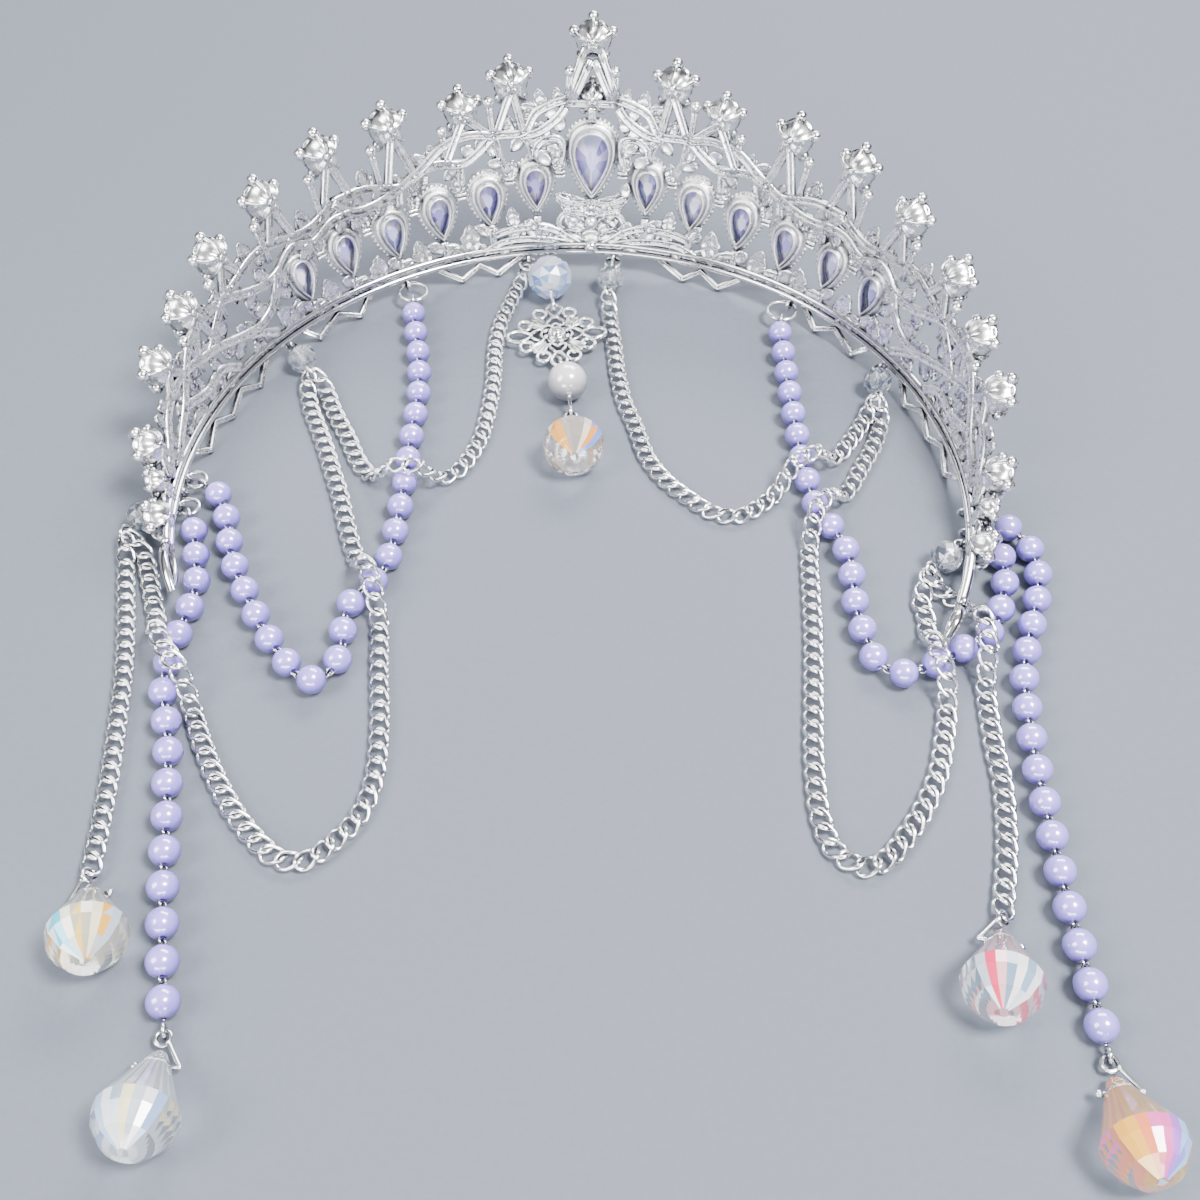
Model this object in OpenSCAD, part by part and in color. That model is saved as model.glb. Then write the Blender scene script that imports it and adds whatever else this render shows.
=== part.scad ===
// Baroque tiara with pearl strands and chains, standing on its lower edge.
// Millimetres. The origin is the centre of the band circle on the surface,
// +Y runs to the front of the tiara, +X to the viewer's right seen from behind, +Z up.

/* [Band] */
// Diameter of the band, measured across the centres of its wires
band_d = 147; // [146:0.5:148]
// Thickness of each band wire
band_wire = 1.5; // [1.3:0.1:1.6]
// Height of the lower band wire above the surface
band_z = 4.6; // [4.4:0.1:4.8]
// Outward lean of the pierced wall in degrees
wall_lean = 15; // [13:1:17]
// Thickness of the pierced wall
wall_t = 1.3; // [1.1:0.1:1.5]

/* [Stones] */
// Width of the large pear stone
centre_stone_w = 9; // [8.5:0.1:9]
// Length of the large pear stone
centre_stone_l = 14.5; // [14:0.1:14.5]
// Width of a side pear stone
pear_stone_w = 6.4; // [6:0.1:6.4]
// Length of a side pear stone
pear_stone_l = 10; // [9.5:0.1:10]
// Diameter of a round stone in a star cup
star_stone_d = 5.7; // [5.3:0.1:5.7]

/* [Strands] */
// Diameter of a lilac pearl
pearl_d = 5; // [4.6:0.1:5]
// Diameter of the white pearl
white_pearl_d = 8; // [7.6:0.1:8]
// Diameter of the wire of a chain link
link_wire = 0.7; // [0.6:0.05:0.75]
// Outer diameter of a chain link
link_d = 4.5; // [4.4:0.1:4.6]
// Diameter of a clear cut bead
clear_bead_d = 6; // [5.6:0.1:6]
// Diameter of the large cut bead
big_bead_d = 9.6; // [9:0.1:9.6]
// Width of a crystal drop
drop_w = 12; // [11.6:0.1:12]

/* [Hidden] */
$fn = 32;
band_r = band_d / 2;
lean_run = tan(wall_lean);
lean_rise = cos(wall_lean);
gap = 0.15;
rest_gap = 0.02;
wire_sides = 20;
small_sides = 24;
silver = "silver";
crystal = "lightcyan";
lilac = "thistle";

// Panels of the wall: the pattern is cut into flat facets that follow the cone
panel_step = 10;
panel_lap = 0.25;
panel_last = 100;
panel_reach = 16;
panel_trim = 0.1;
wall_top = 56;
wall_low = 0.2;

// Round cups on the right half: angle, height of the centre, size, and the feet of their two legs
star_a = 0;
star_z = 1;
star_k = 2;
star_foot_1 = 3;
star_foot_2 = 4;
STARS = [
  [11.6, 39.6, 1.00, [10.3, 30.0], [14.4, 30.2]],
  [19.0, 35.2, 0.96, [15.2, 30.0], [22.6, 25.6]],
  [30.0, 35.0, 1.00, [27.6, 24.6], [32.2, 23.8]],
  [40.4, 34.0, 1.00, [38.4, 25.2], [42.8, 24.8]],
  [51.0, 30.8, 1.00, [49.0, 22.4], [53.4, 23.2]],
  [62.0, 27.2, 0.97, [59.6, 21.8], [64.4, 20.2]],
  [70.8, 22.8, 0.94, [68.4, 14.0], [73.8, 15.0]],
  [80.0, 20.0, 0.92, [77.4, 15.4], [82.6, 14.8]],
  [90.6, 13.6, 0.88, [88.6, 8.0], [92.6, 8.0]],
  [94.7, 10.0, 0.58, [94.2, 6.6], [95.4, 6.6]],
  [99.2, 6.7, 0.84, [98.2, 5.6], [100.0, 5.6]],
];

// Side pears on the right half: angle and height of the centre
PEARS = [[8.9, 18.5], [16.6, 16.2], [24.8, 15.2], [32.9, 14.0], [41.4, 14.0], [49.8, 13.4]];
centre_pear_z = 23.4;
crest_z = 36.2;
crest_k = 0.78;
peak_z = 47.2;

// Vines of the wall, as angle and height along the right half
VINES = [
  [[3.8, 36.2], [5.8, 35.4], [8.4, 33.6], [10.3, 30.0], [14.6, 29.8], [17.2, 27.2], [20.2, 25.2],
   [25.0, 26.0], [30.2, 23.4], [36.0, 25.2], [41.4, 25.0]],
  [[3.9, 34.6], [5.4, 32.2], [8.0, 30.0], [10.6, 29.4]],
  [[14.6, 29.8], [18.6, 30.6], [22.6, 29.4], [26.2, 26.2], [30.2, 23.4], [34.6, 21.6], [38.6, 21.8],
   [41.4, 25.0]],
  [[41.4, 25.0], [45.4, 22.6], [49.2, 22.4], [53.2, 23.4], [57.0, 23.2], [61.0, 21.4], [64.6, 20.0],
   [68.0, 17.0], [71.2, 14.2], [75.4, 15.4], [79.6, 15.8], [84.6, 14.2], [88.4, 10.6], [92.4, 7.4]],
  [[38.6, 21.8], [42.4, 21.6], [46.2, 19.4], [50.0, 20.6], [54.0, 17.6], [58.6, 17.4], [64.6, 20.0],
   [68.8, 20.2], [73.6, 19.0], [77.2, 15.6], [80.8, 11.6], [85.2, 8.8], [89.4, 6.6]],
  [[54.0, 17.6], [56.0, 13.2], [60.0, 10.8], [64.6, 11.6], [68.8, 13.4], [71.4, 14.2]],
  [[57.4, 7.0], [61.0, 9.6], [64.6, 11.6]],
  [[66.8, 6.6], [70.6, 9.6], [75.0, 9.0], [79.2, 10.6], [81.2, 11.4]],
];
vine_w = 1.35;
leg_stop = 1;

// Scrolls between the band and the pears, and small struts, on the right half
SCROLLS = [
  [[2.0, 6.2], [3.6, 7.4], [5.2, 8.8]],
  [[3.4, 6.2], [7.0, 7.2], [11.0, 7.8], [15.0, 7.6], [18.6, 5.8]],
  [[0.0, 15.4], [2.8, 15.0], [5.6, 16.6]],
  [[0.0, 12.2], [2.4, 13.2], [4.6, 12.6], [5.4, 10.6], [4.6, 9.4]],
  [[5.2, 8.8], [7.0, 9.8], [8.9, 10.4]],
  [[8.9, 7.4], [8.9, 12.4]],
  [[16.6, 7.0], [16.6, 10.8]],
  [[10.0, 10.2], [12.8, 10.2], [16.6, 9.2]],
  [[24.8, 5.4], [24.8, 9.8]],
  [[32.9, 5.4], [32.9, 8.8]],
  [[41.4, 5.4], [41.4, 8.8]],
  [[49.8, 5.4], [49.8, 8.4]],
  [[20.6, 5.4], [22.4, 7.8], [24.8, 8.6]],
  [[28.8, 5.4], [30.6, 7.4], [32.9, 7.8]],
  [[37.0, 5.4], [39.2, 7.4], [41.4, 7.8]],
  [[45.4, 5.4], [47.6, 7.2], [49.8, 7.6]],
  [[12.9, 22.2], [14.2, 25.4], [14.6, 29.8]],
  [[20.8, 20.4], [20.4, 25.2]],
  [[30.9, 19.6], [30.4, 23.4]],
  [[38.8, 18.2], [38.6, 21.8]],
  [[46.2, 17.0], [46.4, 19.6]],
  [[10.6, 29.4], [9.4, 27.2], [9.0, 24.6]],
  [[5.0, 22.6], [4.6, 27.6], [6.6, 28.6], [8.4, 27.0], [8.9, 24.6]],
  [[72.0, 5.6], [71.0, 9.6]],
  [[77.0, 5.6], [78.6, 10.4]],
  [[84.0, 5.6], [84.8, 9.0]],
  [[94.6, 5.0], [94.8, 9.0]],
];
scroll_w = 1.3;

// Straight struts of the crest on the right half
CREST = [
  [[1.0, 46.0], [3.9, 35.6]],
  [[0.2, 43.7], [3.0, 35.3]],
  [[0.0, 35.4], [3.8, 35.4]],
  [[0.0, 34.6], [0.0, 31.8]],
  [[3.3, 38.0], [3.2, 41.4]],
];

// Links between neighbouring pears: angle and height of each little clip
clip_size = [3.4, 1.8];
CLIPS = [[4.9, 21.2], [12.9, 20.4], [20.8, 18.6], [28.9, 17.6], [37.1, 16.8], [45.6, 16.4]];

// Leaves: angle and height of the base, length, half width, and tilt from the upright
leaf_a = 0;
leaf_z = 1;
leaf_l = 2;
leaf_w = 3;
leaf_tilt = 4;
LEAVES = [
  [7.2, 33.6, 5.0, 1.5, 12],
  [4.6, 35.4, 3.4, 1.1, 20],
  [9.6, 32.0, 3.0, 1.3, -10],
  [12.4, 29.8, 3.8, 1.6, 0],
  [24.0, 25.8, 4.6, 1.5, 14],
  [35.0, 24.8, 4.6, 1.5, 10],
  [46.4, 22.2, 4.8, 1.5, 14],
  [57.4, 22.8, 4.6, 1.5, 14],
  [67.4, 17.8, 4.4, 1.4, 10],
  [75.8, 15.2, 4.4, 1.4, 14],
  [86.0, 12.8, 4.2, 1.3, 24],
  [10.2, 29.0, 8.0, 1.7, -112],
  [26.2, 25.6, 4.4, 1.4, 160],
  [34.6, 21.8, 3.6, 1.4, 150],
  [12.6, 7.6, 3.6, 1.6, -20],
  [7.0, 7.6, 3.2, 1.5, 30],
  [20.6, 6.0, 6.6, 2.2, -4],
  [28.6, 5.6, 4.8, 2.0, 10],
  [37.2, 5.6, 4.4, 2.0, -10],
  [45.6, 5.6, 5.0, 2.0, 10],
  [53.6, 6.0, 6.4, 2.2, 30],
  [53.8, 6.0, 5.4, 1.8, -26],
  [58.2, 11.6, 5.4, 1.8, 40],
  [61.4, 5.6, 3.6, 1.6, 20],
  [67.6, 13.4, 3.6, 1.3, 160],
  [76.4, 9.0, 4.6, 1.5, -6],
  [82.4, 6.2, 4.0, 1.6, -16],
  [88.6, 6.4, 4.4, 1.4, 10],
  [3.0, 15.0, 4.4, 1.5, 66],
  [2.6, 8.4, 3.2, 1.4, -26],
  [0.0, 6.4, 4.6, 2.2, 0],
];

// Outline of a leaf: height and half width as shares of its own, and half the width of its foot
leaf_shape = [[0.35, 1], [0.7, 0.75]];
leaf_foot = 0.5;

// Round bosses under the large pear, and knobs beside the crest
boss_z = [10.9, 5.6];
boss_r = [1.6, 1.5];
boss_h = 2.4;
knob = [3.2, 41.5];

// Fringe under the band on the right half: short zigzag wires whose points stand on the surface
FRINGE = [
  [[12.0, 4.2], [16.4, 0.0], [19.4, 3.4], [22.8, 0.0], [26.6, 4.2]],
  [[39.4, 4.2], [42.2, 0.0], [46.0, 3.4], [50.6, 0.0], [53.2, 4.2]],
  [[62.0, 4.2], [65.0, 0.0], [69.0, 3.4], [73.0, 0.0], [77.0, 3.4], [81.0, 0.0], [84.4, 4.2]],
];
fringe_w = 1.2;

// Round feet at the points of the fringe: their angles on both sides
FEET = [16.4, 22.8, 42.2, 50.6, 65.0, 73.0, 81.0];
foot_r = 0.8;
foot_h = 1.1;

// Studs on short stems beside the cups: offsets of the stud and of the foot from the cup's centre
stud_offset = [3.5, -3.1];
stud_foot = [3.3, -10.4];
stud_r = 1;
stud_h = 2;
stud_cups = 7;

// Profile of a round cup, and its ball prongs
cup_profile = [[0.5, 1.1], [1.9, 0.9], [3.1, -0.2], [3.6, -1.3], [3.6, -3.4], [3.05, -3.4], [3.05, -2.4],
  [1.7, -0.95], [0.5, -0.95]];
prong_at = 4.2;
prong_r = 1.1;
prong_z = [-1.8, -3.9];
prongs = 5;

// Rims of the pear settings, wider than the stone, and their open windows
side_rim = [2.4, 3];
side_window = [4, 7.6];
centre_rim = [2.6, 3.7];
centre_window = [7, 12];
setting_back = 0.9;
setting_front = 0.6;
setting_wall = 3.4;
seat_play = [0.5, 0.9];
pear_sides = 20;
pear_bulge = 0.77;

// Flat loops at the two ends of the band: angle, length and width of each
loop_z = 5.45;
loop_t = 1.4;
loop_rim = [3.6, 2.2];
loop_sides = 24;
left_loop = [107.8, 12.4, 4.6];
right_loop = [113, 8.6, 4.4];
left_band_end = 104.5;
right_band_end = 110.5;
wire_pitch = 1.7;

// Little loops under the band that carry the strands: side (-1 left, 1 right) and angle
LUGS = [[-1, 7.3], [-1, 10.9], [-1, 32.4], [-1, 56.4], [-1, 89.1], [-1, 92.0], [-1, 94.8], [1, 3.9],
  [1, 36.2], [1, 57.2], [1, 90.5], [1, 94.5], [1, 97.0]];
lug_z = 2.85;
lug_r = 1.2;
lug_wire = 0.4;
ring_slack = 0.6;

// Wire eyes at the ends of pins and threads
eye_r = 1.1;
eye_wire = 0.35;
elbow_r = 0.43;
thread_r = 0.38;
hole_r = 0.75;
pin_hole_r = 0.5;
ring_wire = 0.4;

// Strands lie on the surface; a chain climbs over the pearls where it crosses them
pearl_pitch = 6.4;
link_r = (link_d - link_wire) / 2;
link_pitch = 2.8;
link_z = 1.75;
tube_r = 1.5;
over_pearls = 5.2;
over_run = 9;
short_run = 8;
climb_flat = 1.15;
end_run = 6;
tube_end_r = 0.6;
bar_step = 3;
pearl_lead = eye_r + eye_wire + pearl_d / 2 + gap;
thread_straight = 0.47;
strand_sides = 8;
look = 0.4;

// Crystal drop 12 mm wide, from its drilled top to its wide tip: height and half width
drop_base_w = 12;
drop_profile = [[0, 1.4], [3, 2.6], [7.5, 4.6], [10.5, 6], [12.5, 5.6], [15, 3.8], [16.5, 0.8]];
drop_sides = 12;
drop_widest = 10.5;
drop_h = 16.5;
drop_top_r = 1.4;
drop_hole_at = 1.9;
drop_hole_r = 0.55;
drop_tilt = atan((drop_w / 2 - drop_top_r) * cos(180 / drop_sides) / drop_widest);
drop_top_z = drop_top_r * cos(180 / drop_sides) * cos(drop_tilt) + rest_gap;

// Wire of a drop: the reach of its ball and of its bend, the place of its neck, and its eye
headpin_ball = 0.65;
headpin_ball_at = 2.9;
headpin_reach = 3.3;
headpin_side = 1;
headpin_neck = 1.4;
headpin_eye_back = 2.2;
headpin_eye_z = 1.5;
headpin_up = (headpin_eye_z - drop_top_z + headpin_eye_back * sin(drop_tilt)) / cos(drop_tilt);

// Levels of the cut stones: height and scale, from the table to the keel
gem_levels = [[-3.6, 0.6], [-2.7, 1], [-2.4, 1], [-0.75, 0.3]];
gem_sides = 12;
round_levels = [[-4.2, 0], [-4.2, 0.6], [-3.1, 1], [-2.8, 1], [-1.2, 0.35], [-1.2, 0]];
round_gem_sides = 8;
bead_profile = [[0.1, -0.93], [0.34, -0.93], [0.76, -0.62], [1, -0.2], [1, 0.2], [0.76, 0.62],
  [0.34, 0.93], [0.1, 0.93]];
bead_half = 0.93;

// Jump rings: side, angle, radius, and 1 for a ring inside the band or -1 outside it
LEFT_RINGS = [[-1, 32.4, 3, 1], [-1, 89.1, 2, 1], [-1, 94.8, 2, 1], [-1, 92.0, 2.7, -1],
  [-1, 10.9, 1.9, 1], [-1, 7.3, 1.6, 1]];
RIGHT_RINGS = [[1, 36.2, 3, 1], [1, 90.5, 2.2, -1], [1, 94.5, 2.2, -1], [1, 3.9, 1.6, 1]];
function ring_centre(g) = polar(band_r - g[3] * g[2], g[0], g[1], lug_z);
function ring_exit(g, to) = let (c = ring_centre(g)) c + g[2] * unit([to[0] - c[0], to[1] - c[1], 0]);

// Clear beads: place of the eye nearest the band, and the direction of the pin
clear_half = bead_half * clear_bead_d / 2;
clear_far = clear_half + eye_r + eye_wire + gap;
lug_inside = band_r - lug_r;
left_eye = polar(lug_inside, -1, 56.4, lug_z);
left_dir = unit([0.58, -0.81, 0.05]);
right_eye = polar(lug_inside, 1, 57.2, lug_z);
right_dir = unit([-0.13, -0.99, 0.05]);
centre_eye = ring_exit(RIGHT_RINGS[3], [4.4, 62]);
centre_dir = unit([-0.05, -1, 0.05]);
left_end_eye = ring_exit(LEFT_RINGS[3], [-78.5, -8]);
left_end_dir = unit([-0.42, -0.91, 0.05]);
right_end_eye = polar(lug_inside, 1, 97, lug_z);
right_end_dir = unit([-0.69, -0.72, 0.05]);
function far_end(e, d) = e + 2 * clear_far * d;

// Drops: place of the top on the surface, and the heading of the wide end
top_centre = [-1.2, 21];
az_centre = -84;
top_left_chain = [-67.9, -84.1];
az_left_chain = -70;
top_left_pearl = [-51, -109];
az_left_pearl = -88;
top_right_chain = [69, -85];
az_right_chain = -102;
top_right_pearl = [81.6, -106.4];
az_right_pearl = -85;

// Pendant: large bead, pierced plate and white pearl, from the band down
big_eye = ring_exit(LEFT_RINGS[5], [-9, 60]);
big_centre = [-8.4, 63.4, big_bead_d / 2 + rest_gap];
big_dir = unit([0.12, -1, 0]);
plate_top = [-7.3, 56.4, 2.7];
plate_eye_r = 1.5;
plate_centre = [-5.9, 47.5, 2.15];
plate_tilt = 3;
plate_turn = 8;
plate_t = 0.9;
plate_bottom = [-4.6, 38.5, 1.9];
white_centre = [-2.6, 31, white_pearl_d / 2 + rest_gap];
white_dir = unit([0.15, -1, 0]);
white_low = [-1.6, 24.6, 1.6];
lobe_at = 6.9;
lobe_r = 2.7;
lobe_hole_at = 7.2;
lobe_hole_r = 1.7;
fan_at = 5.2;
fan_r = 2.5;
fan_hole_at = 5.4;
fan_hole_r = 1.5;
curl_at = 7.2;
curl_turn = 25;
curl_r = 1.5;
curl_hole_r = 0.75;
hub_r = 4.6;
axis_hole_at = 3.3;
axis_hole_r = 0.8;
button_r = 1.8;
button_h = 1.6;
thread_end_z = 1.6;

// Routes of the strands on the surface, in round numbers
LEFT_SWAG = [[-36.5, 51], [-34.2, 40], [-32.5, 28], [-32.2, 14], [-31.8, 0], [-32, -14], [-33, -20.5],
  [-36.8, -26], [-37.8, -31.5], [-37.2, -37.5], [-38.8, -43], [-43, -44], [-47.5, -39], [-51.5, -34],
  [-55, -28], [-58.4, -22], [-61.2, -16], [-63.2, -9.2], [-66.2, -2.6]];
LEFT_TAIL = [[-69, -11.5], [-67.4, -17], [-65.9, -22.5], [-65.3, -27.5], [-65.8, -33], [-66.2, -39],
  [-66, -46], [-64, -52.5], [-62, -59], [-60.6, -65], [-59.2, -71], [-58, -77], [-56.8, -83],
  [-55.4, -89], [-54, -94.5], [-52.6, -100]];
RIGHT_SWAG = [[41, 50], [41.6, 42], [42, 35], [42.6, 27.5], [43.2, 20], [43.8, 13], [44.8, 6], [46, 0],
  [49, -6], [51.2, -12], [51.5, -18], [51.8, -25], [53, -31], [54.5, -36], [58.5, -38.2], [64, -36.2],
  [69.5, -32.4], [74.6, -28.6], [76.8, -24], [78.4, -18.5], [79.2, -12]];
RIGHT_TAIL = [[81.5, -4.2], [84.6, -9.5], [84.8, -16], [83.2, -23], [81, -30], [79.2, -37], [78.6, -44],
  [78.4, -50], [78.4, -56], [78.6, -62], [78.8, -68], [79, -74], [79.4, -80], [79.8, -86], [80.2, -91],
  [80.8, -97]];
LEFT_SHORT = [[-52, 29.6], [-49, 23], [-45.2, 16], [-41.4, 8.4], [-37, 4.2], [-32.5, 3.6], [-27.6, 4.2],
  [-22.5, 7.6], [-19.2, 15.8], [-18.2, 24], [-18, 34], [-18.6, 44], [-18.2, 52.5], [-16.6, 60],
  [-15.4, 64.6]];
LEFT_LONG = [[-55.4, 29.4], [-54, 24], [-52, 19.5], [-49.4, 13.6], [-46.6, 6.5], [-44, 0], [-41, -9],
  [-38, -16.5], [-34.4, -23], [-32, -30], [-30.4, -41], [-28.7, -51.4], [-28, -61], [-29, -68],
  [-31.8, -73], [-36, -77.2], [-40.5, -77.3], [-44.4, -74.5], [-49, -69.7], [-53.2, -63.8],
  [-56.8, -57.6], [-59.8, -51.6], [-62.4, -46], [-66.4, -41], [-69.8, -35], [-73, -27], [-75.4, -21],
  [-77.6, -16.2]];
LEFT_END = [[-80.2, -18], [-78.8, -24], [-76.6, -32], [-74, -43], [-72.4, -52.5], [-70.8, -63],
  [-69.6, -73]];
RIGHT_SHORT = [[5.2, 53.4], [6.2, 46.6], [7.4, 37.2], [9, 29], [11.4, 22], [14, 13.4], [17.6, 7.3],
  [21.6, 3.2], [26.9, -1], [31.8, -1.5], [36.6, 2.1], [41.8, 8], [46.4, 11.3], [51, 15.1], [54.6, 21],
  [57.4, 26.2]];
RIGHT_LONG = [[60.3, 26.4], [59.6, 22], [58, 17.5], [55.6, 12.4], [53.2, 7], [50.2, 2.8], [47.6, -0.8],
  [45.2, -4.8], [44.4, -11], [44.3, -20], [44.2, -29], [43.8, -37.5], [43.4, -45.4], [43, -53],
  [43, -60.5], [43.5, -66.5], [45.4, -71.8], [49.6, -74.4], [53.6, -72.6], [57, -68.2], [60, -63.4],
  [62.9, -57], [64.4, -51], [65.6, -45], [65.6, -40.5], [64.2, -36.2], [63.9, -32], [64.1, -28],
  [64.2, -24.4], [63.8, -20.8]];
RIGHT_END = [[66.2, -17.6], [68.4, -19.6], [71.2, -21.8], [72.5, -25.6], [72.8, -30], [72.9, -35],
  [72.6, -42], [72.6, -51], [73, -58], [72.6, -65], [71.8, -71.6], [70.6, -77.5]];

// Point of the wall in the plane of the panel whose centre is at angle ac
function wall_r(z) = band_r + (z - band_z) * lean_run;
function flat_pt(ac, p) = [wall_r(p[1]) * tan(p[0] - ac), (p[1] - band_z) / lean_rise];
function flat_pts(ac, pts) = [for (p = pts) flat_pt(ac, p)];

// Point at a radius, at an angle from the front on one side
function polar(r, s, a, z) = [s * r * sin(a), r * cos(a), z];

// Small helpers on points and lists
function unit(v) = v / norm(v);
function xy(p) = [p[0], p[1]];
function last(p) = p[len(p) - 1];

// Smooth line through given points
function catmull(a, b, c, d, t) = 0.5 * ((2 * b) + (c - a) * t + (2 * a - 5 * b + 4 * c - d) * t * t
  + (3 * b - a - 3 * c + d) * t * t * t);
function smooth(p, k) = let (n = len(p)) concat(
  [for (i = [0:n - 2]) for (j = [0:k - 1]) catmull(p[max(i - 1, 0)], p[i], p[i + 1], p[min(i + 2, n - 1)],
  j / k)],
  [p[n - 1]]);

// Running length along a line, and places at equal steps along it
function run(p) = [for (i = 0, s = 0; i < len(p); s = s + (i + 1 < len(p) ? norm(p[i + 1] - p[i]) : 0),
  i = i + 1) s];
function tables(p) = let (s = run(p)) [for (k = [0:2]) [for (i = [0:len(p) - 1]) [s[i], p[i][k]]]];
function place(t, s) = [lookup(s, t[0]), lookup(s, t[1]), lookup(s, t[2])];
function heading(t, s) = unit(place(t, s + look) - place(t, s - look));

// Outline of a stroke of even width along a line
function side(p, i) = let (a = p[max(i - 1, 0)], b = p[min(i + 1, len(p) - 1)], d = (b - a) / norm(b - a))
  [-d[1], d[0]];
function ribbon(p, w) = concat([for (i = [0:len(p) - 1]) p[i] + side(p, i) * w / 2],
  [for (i = [len(p) - 1:-1:0]) p[i] - side(p, i) * w / 2]);

// Pear outline with its point down, a leaf outline with its base at the origin, and a pointed oval
function pear(w, l, n) = [for (i = [0:n - 1]) let (t = 360 * i / n)
  [w / 2 * sin(t) * sin(t / 2) / pear_bulge, -l / 2 * cos(t)]];
function leaf(l, w) = let (a = leaf_shape[0], b = leaf_shape[1])
  [[-leaf_foot, 0], [-w * a[1], l * a[0]], [-w * b[1], l * b[0]], [0, l], [w * b[1], l * b[0]], [w * a[1],
   l * a[0]],
    [leaf_foot, 0]];
function almond(l, w) = [for (i = [0:loop_sides - 1]) let (t = 360 * i / loop_sides) [l / 2 * cos(t),
  w / 2 * sin(t) * abs(sin(t))]];

// Closed solid through rings of points, all with the same count
module loft(rings) {
  n = len(rings[0]);
  m = len(rings);
  polyhedron(
    points = [for (r = rings) for (p = r) p],
    faces = concat(
      [[for (i = [0:n - 1]) i]],
      [for (j = [0:m - 2]) for (i = [0:n - 1]) [j * n + i, (j + 1) * n + i, j * n + (i + 1) % n]],
      [for (j = [0:m - 2]) for (i = [0:n - 1]) [j * n + (i + 1) % n, (j + 1) * n + i,
      (j + 1) * n + (i + 1) % n]],
      [[for (i = [n - 1:-1:0]) (m - 1) * n + i]]));
}

// Round bar along a line, with a radius for each of its points
function bar_ring(c, d, r, n) = let (u = unit(cross(d, [0, 0, 1])), v = cross(d, u))
  [for (i = [0:n - 1]) c + r * (cos(360 * i / n) * u + sin(360 * i / n) * v)];
module bar(p, r, n) {
  loft([for (i = [0:len(p) - 1])
    bar_ring(p[i], unit(p[min(i + 1, len(p) - 1)] - p[max(i - 1, 0)]), r[i], n)]);
}

// Turns its children so that their z axis runs along d at the point p
module aim(p, d) {
  u = unit(d);
  translate(p)
    rotate([0, acos(u[2]), atan2(u[1], u[0])])
      children();
}

module torus(r, wire_r) {
  rotate_extrude()
    translate([r, 0])
      circle(wire_r, $fn = wire_sides);
}

// Wire ring whose plane holds the z axis, turned about that axis by roll
module eye(roll, r = eye_r, wire_r = eye_wire) {
  rotate([0, 0, roll])
    rotate([0, 90, 0])
      torus(r, wire_r);
}

// Places its children on the wall: x along the band, y up the slope, z towards the head
module on_wall(a, z) {
  rotate([0, 0, -a])
    translate([0, wall_r(z), z])
      rotate([90 - wall_lean, 0, 0])
        children();
}

// Both halves of the tiara
module both_sides() {
  children();
  mirror([1, 0, 0])
    children();
}

// Lines of a table drawn in the panel at angle ac, where they come near it
function near_panel(ac, p) = min([for (q = p) abs(q[0] - ac)]) < panel_step;

module wall_lines(ac, table, w, k) {
  for (line = table) {
    for (s = [-1, 1]) {
      pts = [for (q = smooth(line, k)) [s * q[0], q[1]]];
      if (near_panel(ac, pts))
        polygon(ribbon(flat_pts(ac, [for (q = pts) if (abs(q[0] - ac) < panel_reach) q]), w));
    }
  }
}

module wall_legs(ac) {
  for (i = [0:len(STARS) - 1]) {
    st = STARS[i];
    centre = [st[star_a], st[star_z]];
    for (s = [-1, 1]) {
      if (abs(s * centre[0] - ac) < panel_step) {
        for (foot = [st[star_foot_1], st[star_foot_2]])
          polygon(ribbon(flat_pts(ac, [[s * foot[0], foot[1]], [s * centre[0],
          centre[1] - leg_stop]]), scroll_w));
        if (i < stud_cups) {
          stud = centre + stud_offset;
          stem = centre + stud_foot;
          polygon(ribbon(flat_pts(ac, [[s * stud[0], stud[1]], [s * stem[0], stem[1]]]), scroll_w));
        }
      }
    }
  }
}

module wall_leaves(ac) {
  for (lf = LEAVES) {
    for (s = [-1, 1]) {
      if (abs(s * lf[leaf_a] - ac) < panel_step)
        translate(flat_pt(ac, [s * lf[leaf_a], lf[leaf_z]]))
          rotate([0, 0, -s * lf[leaf_tilt]])
            polygon(leaf(lf[leaf_l], lf[leaf_w]));
    }
  }
}

module wall_clips(ac) {
  for (c = CLIPS) {
    for (s = [-1, 1]) {
      if (abs(s * c[0] - ac) < panel_step)
        translate(flat_pt(ac, [s * c[0], c[1]]))
          square(clip_size, center = true);
    }
  }
}

// One flat panel of the wall
module wall_panel(ac) {
  half_low = wall_r(wall_low) * tan(panel_step / 2) + panel_lap;
  half_top = wall_r(wall_top) * tan(panel_step / 2) + panel_lap;
  y_low = (wall_low - band_z) / lean_rise;
  y_top = (wall_top - band_z) / lean_rise;
  on_wall(ac, band_z)
    translate([0, 0, -wall_t / 2])
      linear_extrude(wall_t)
        offset(delta = panel_trim)
          offset(delta = -panel_trim)
            intersection() {
              polygon([[-half_low, y_low], [half_low, y_low], [half_top, y_top], [-half_top, y_top]]);
              union() {
                wall_lines(ac, VINES, vine_w, 2);
                wall_lines(ac, SCROLLS, scroll_w, 2);
                wall_lines(ac, FRINGE, fringe_w, 1);
                wall_lines(ac, CREST, scroll_w, 1);
                wall_legs(ac);
                wall_leaves(ac);
                wall_clips(ac);
              }
            }
}

// Setting of a pear stone: an open window at the back and a collar round the stone
module pear_setting(stone, rim, window) {
  difference() {
    translate([0, 0, -setting_wall])
      linear_extrude(setting_wall + setting_back)
        polygon(pear(stone[0] + rim[0], stone[1] + rim[1], pear_sides));
    translate([0, 0, -setting_wall - 1])
      linear_extrude(setting_wall + 1 - setting_front)
        polygon(pear(stone[0] + seat_play[0], stone[1] + seat_play[1], pear_sides));
    translate([0, 0, -setting_wall])
      linear_extrude(setting_wall + setting_back + 1)
        polygon(pear(window[0], window[1], pear_sides));
  }
}

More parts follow.
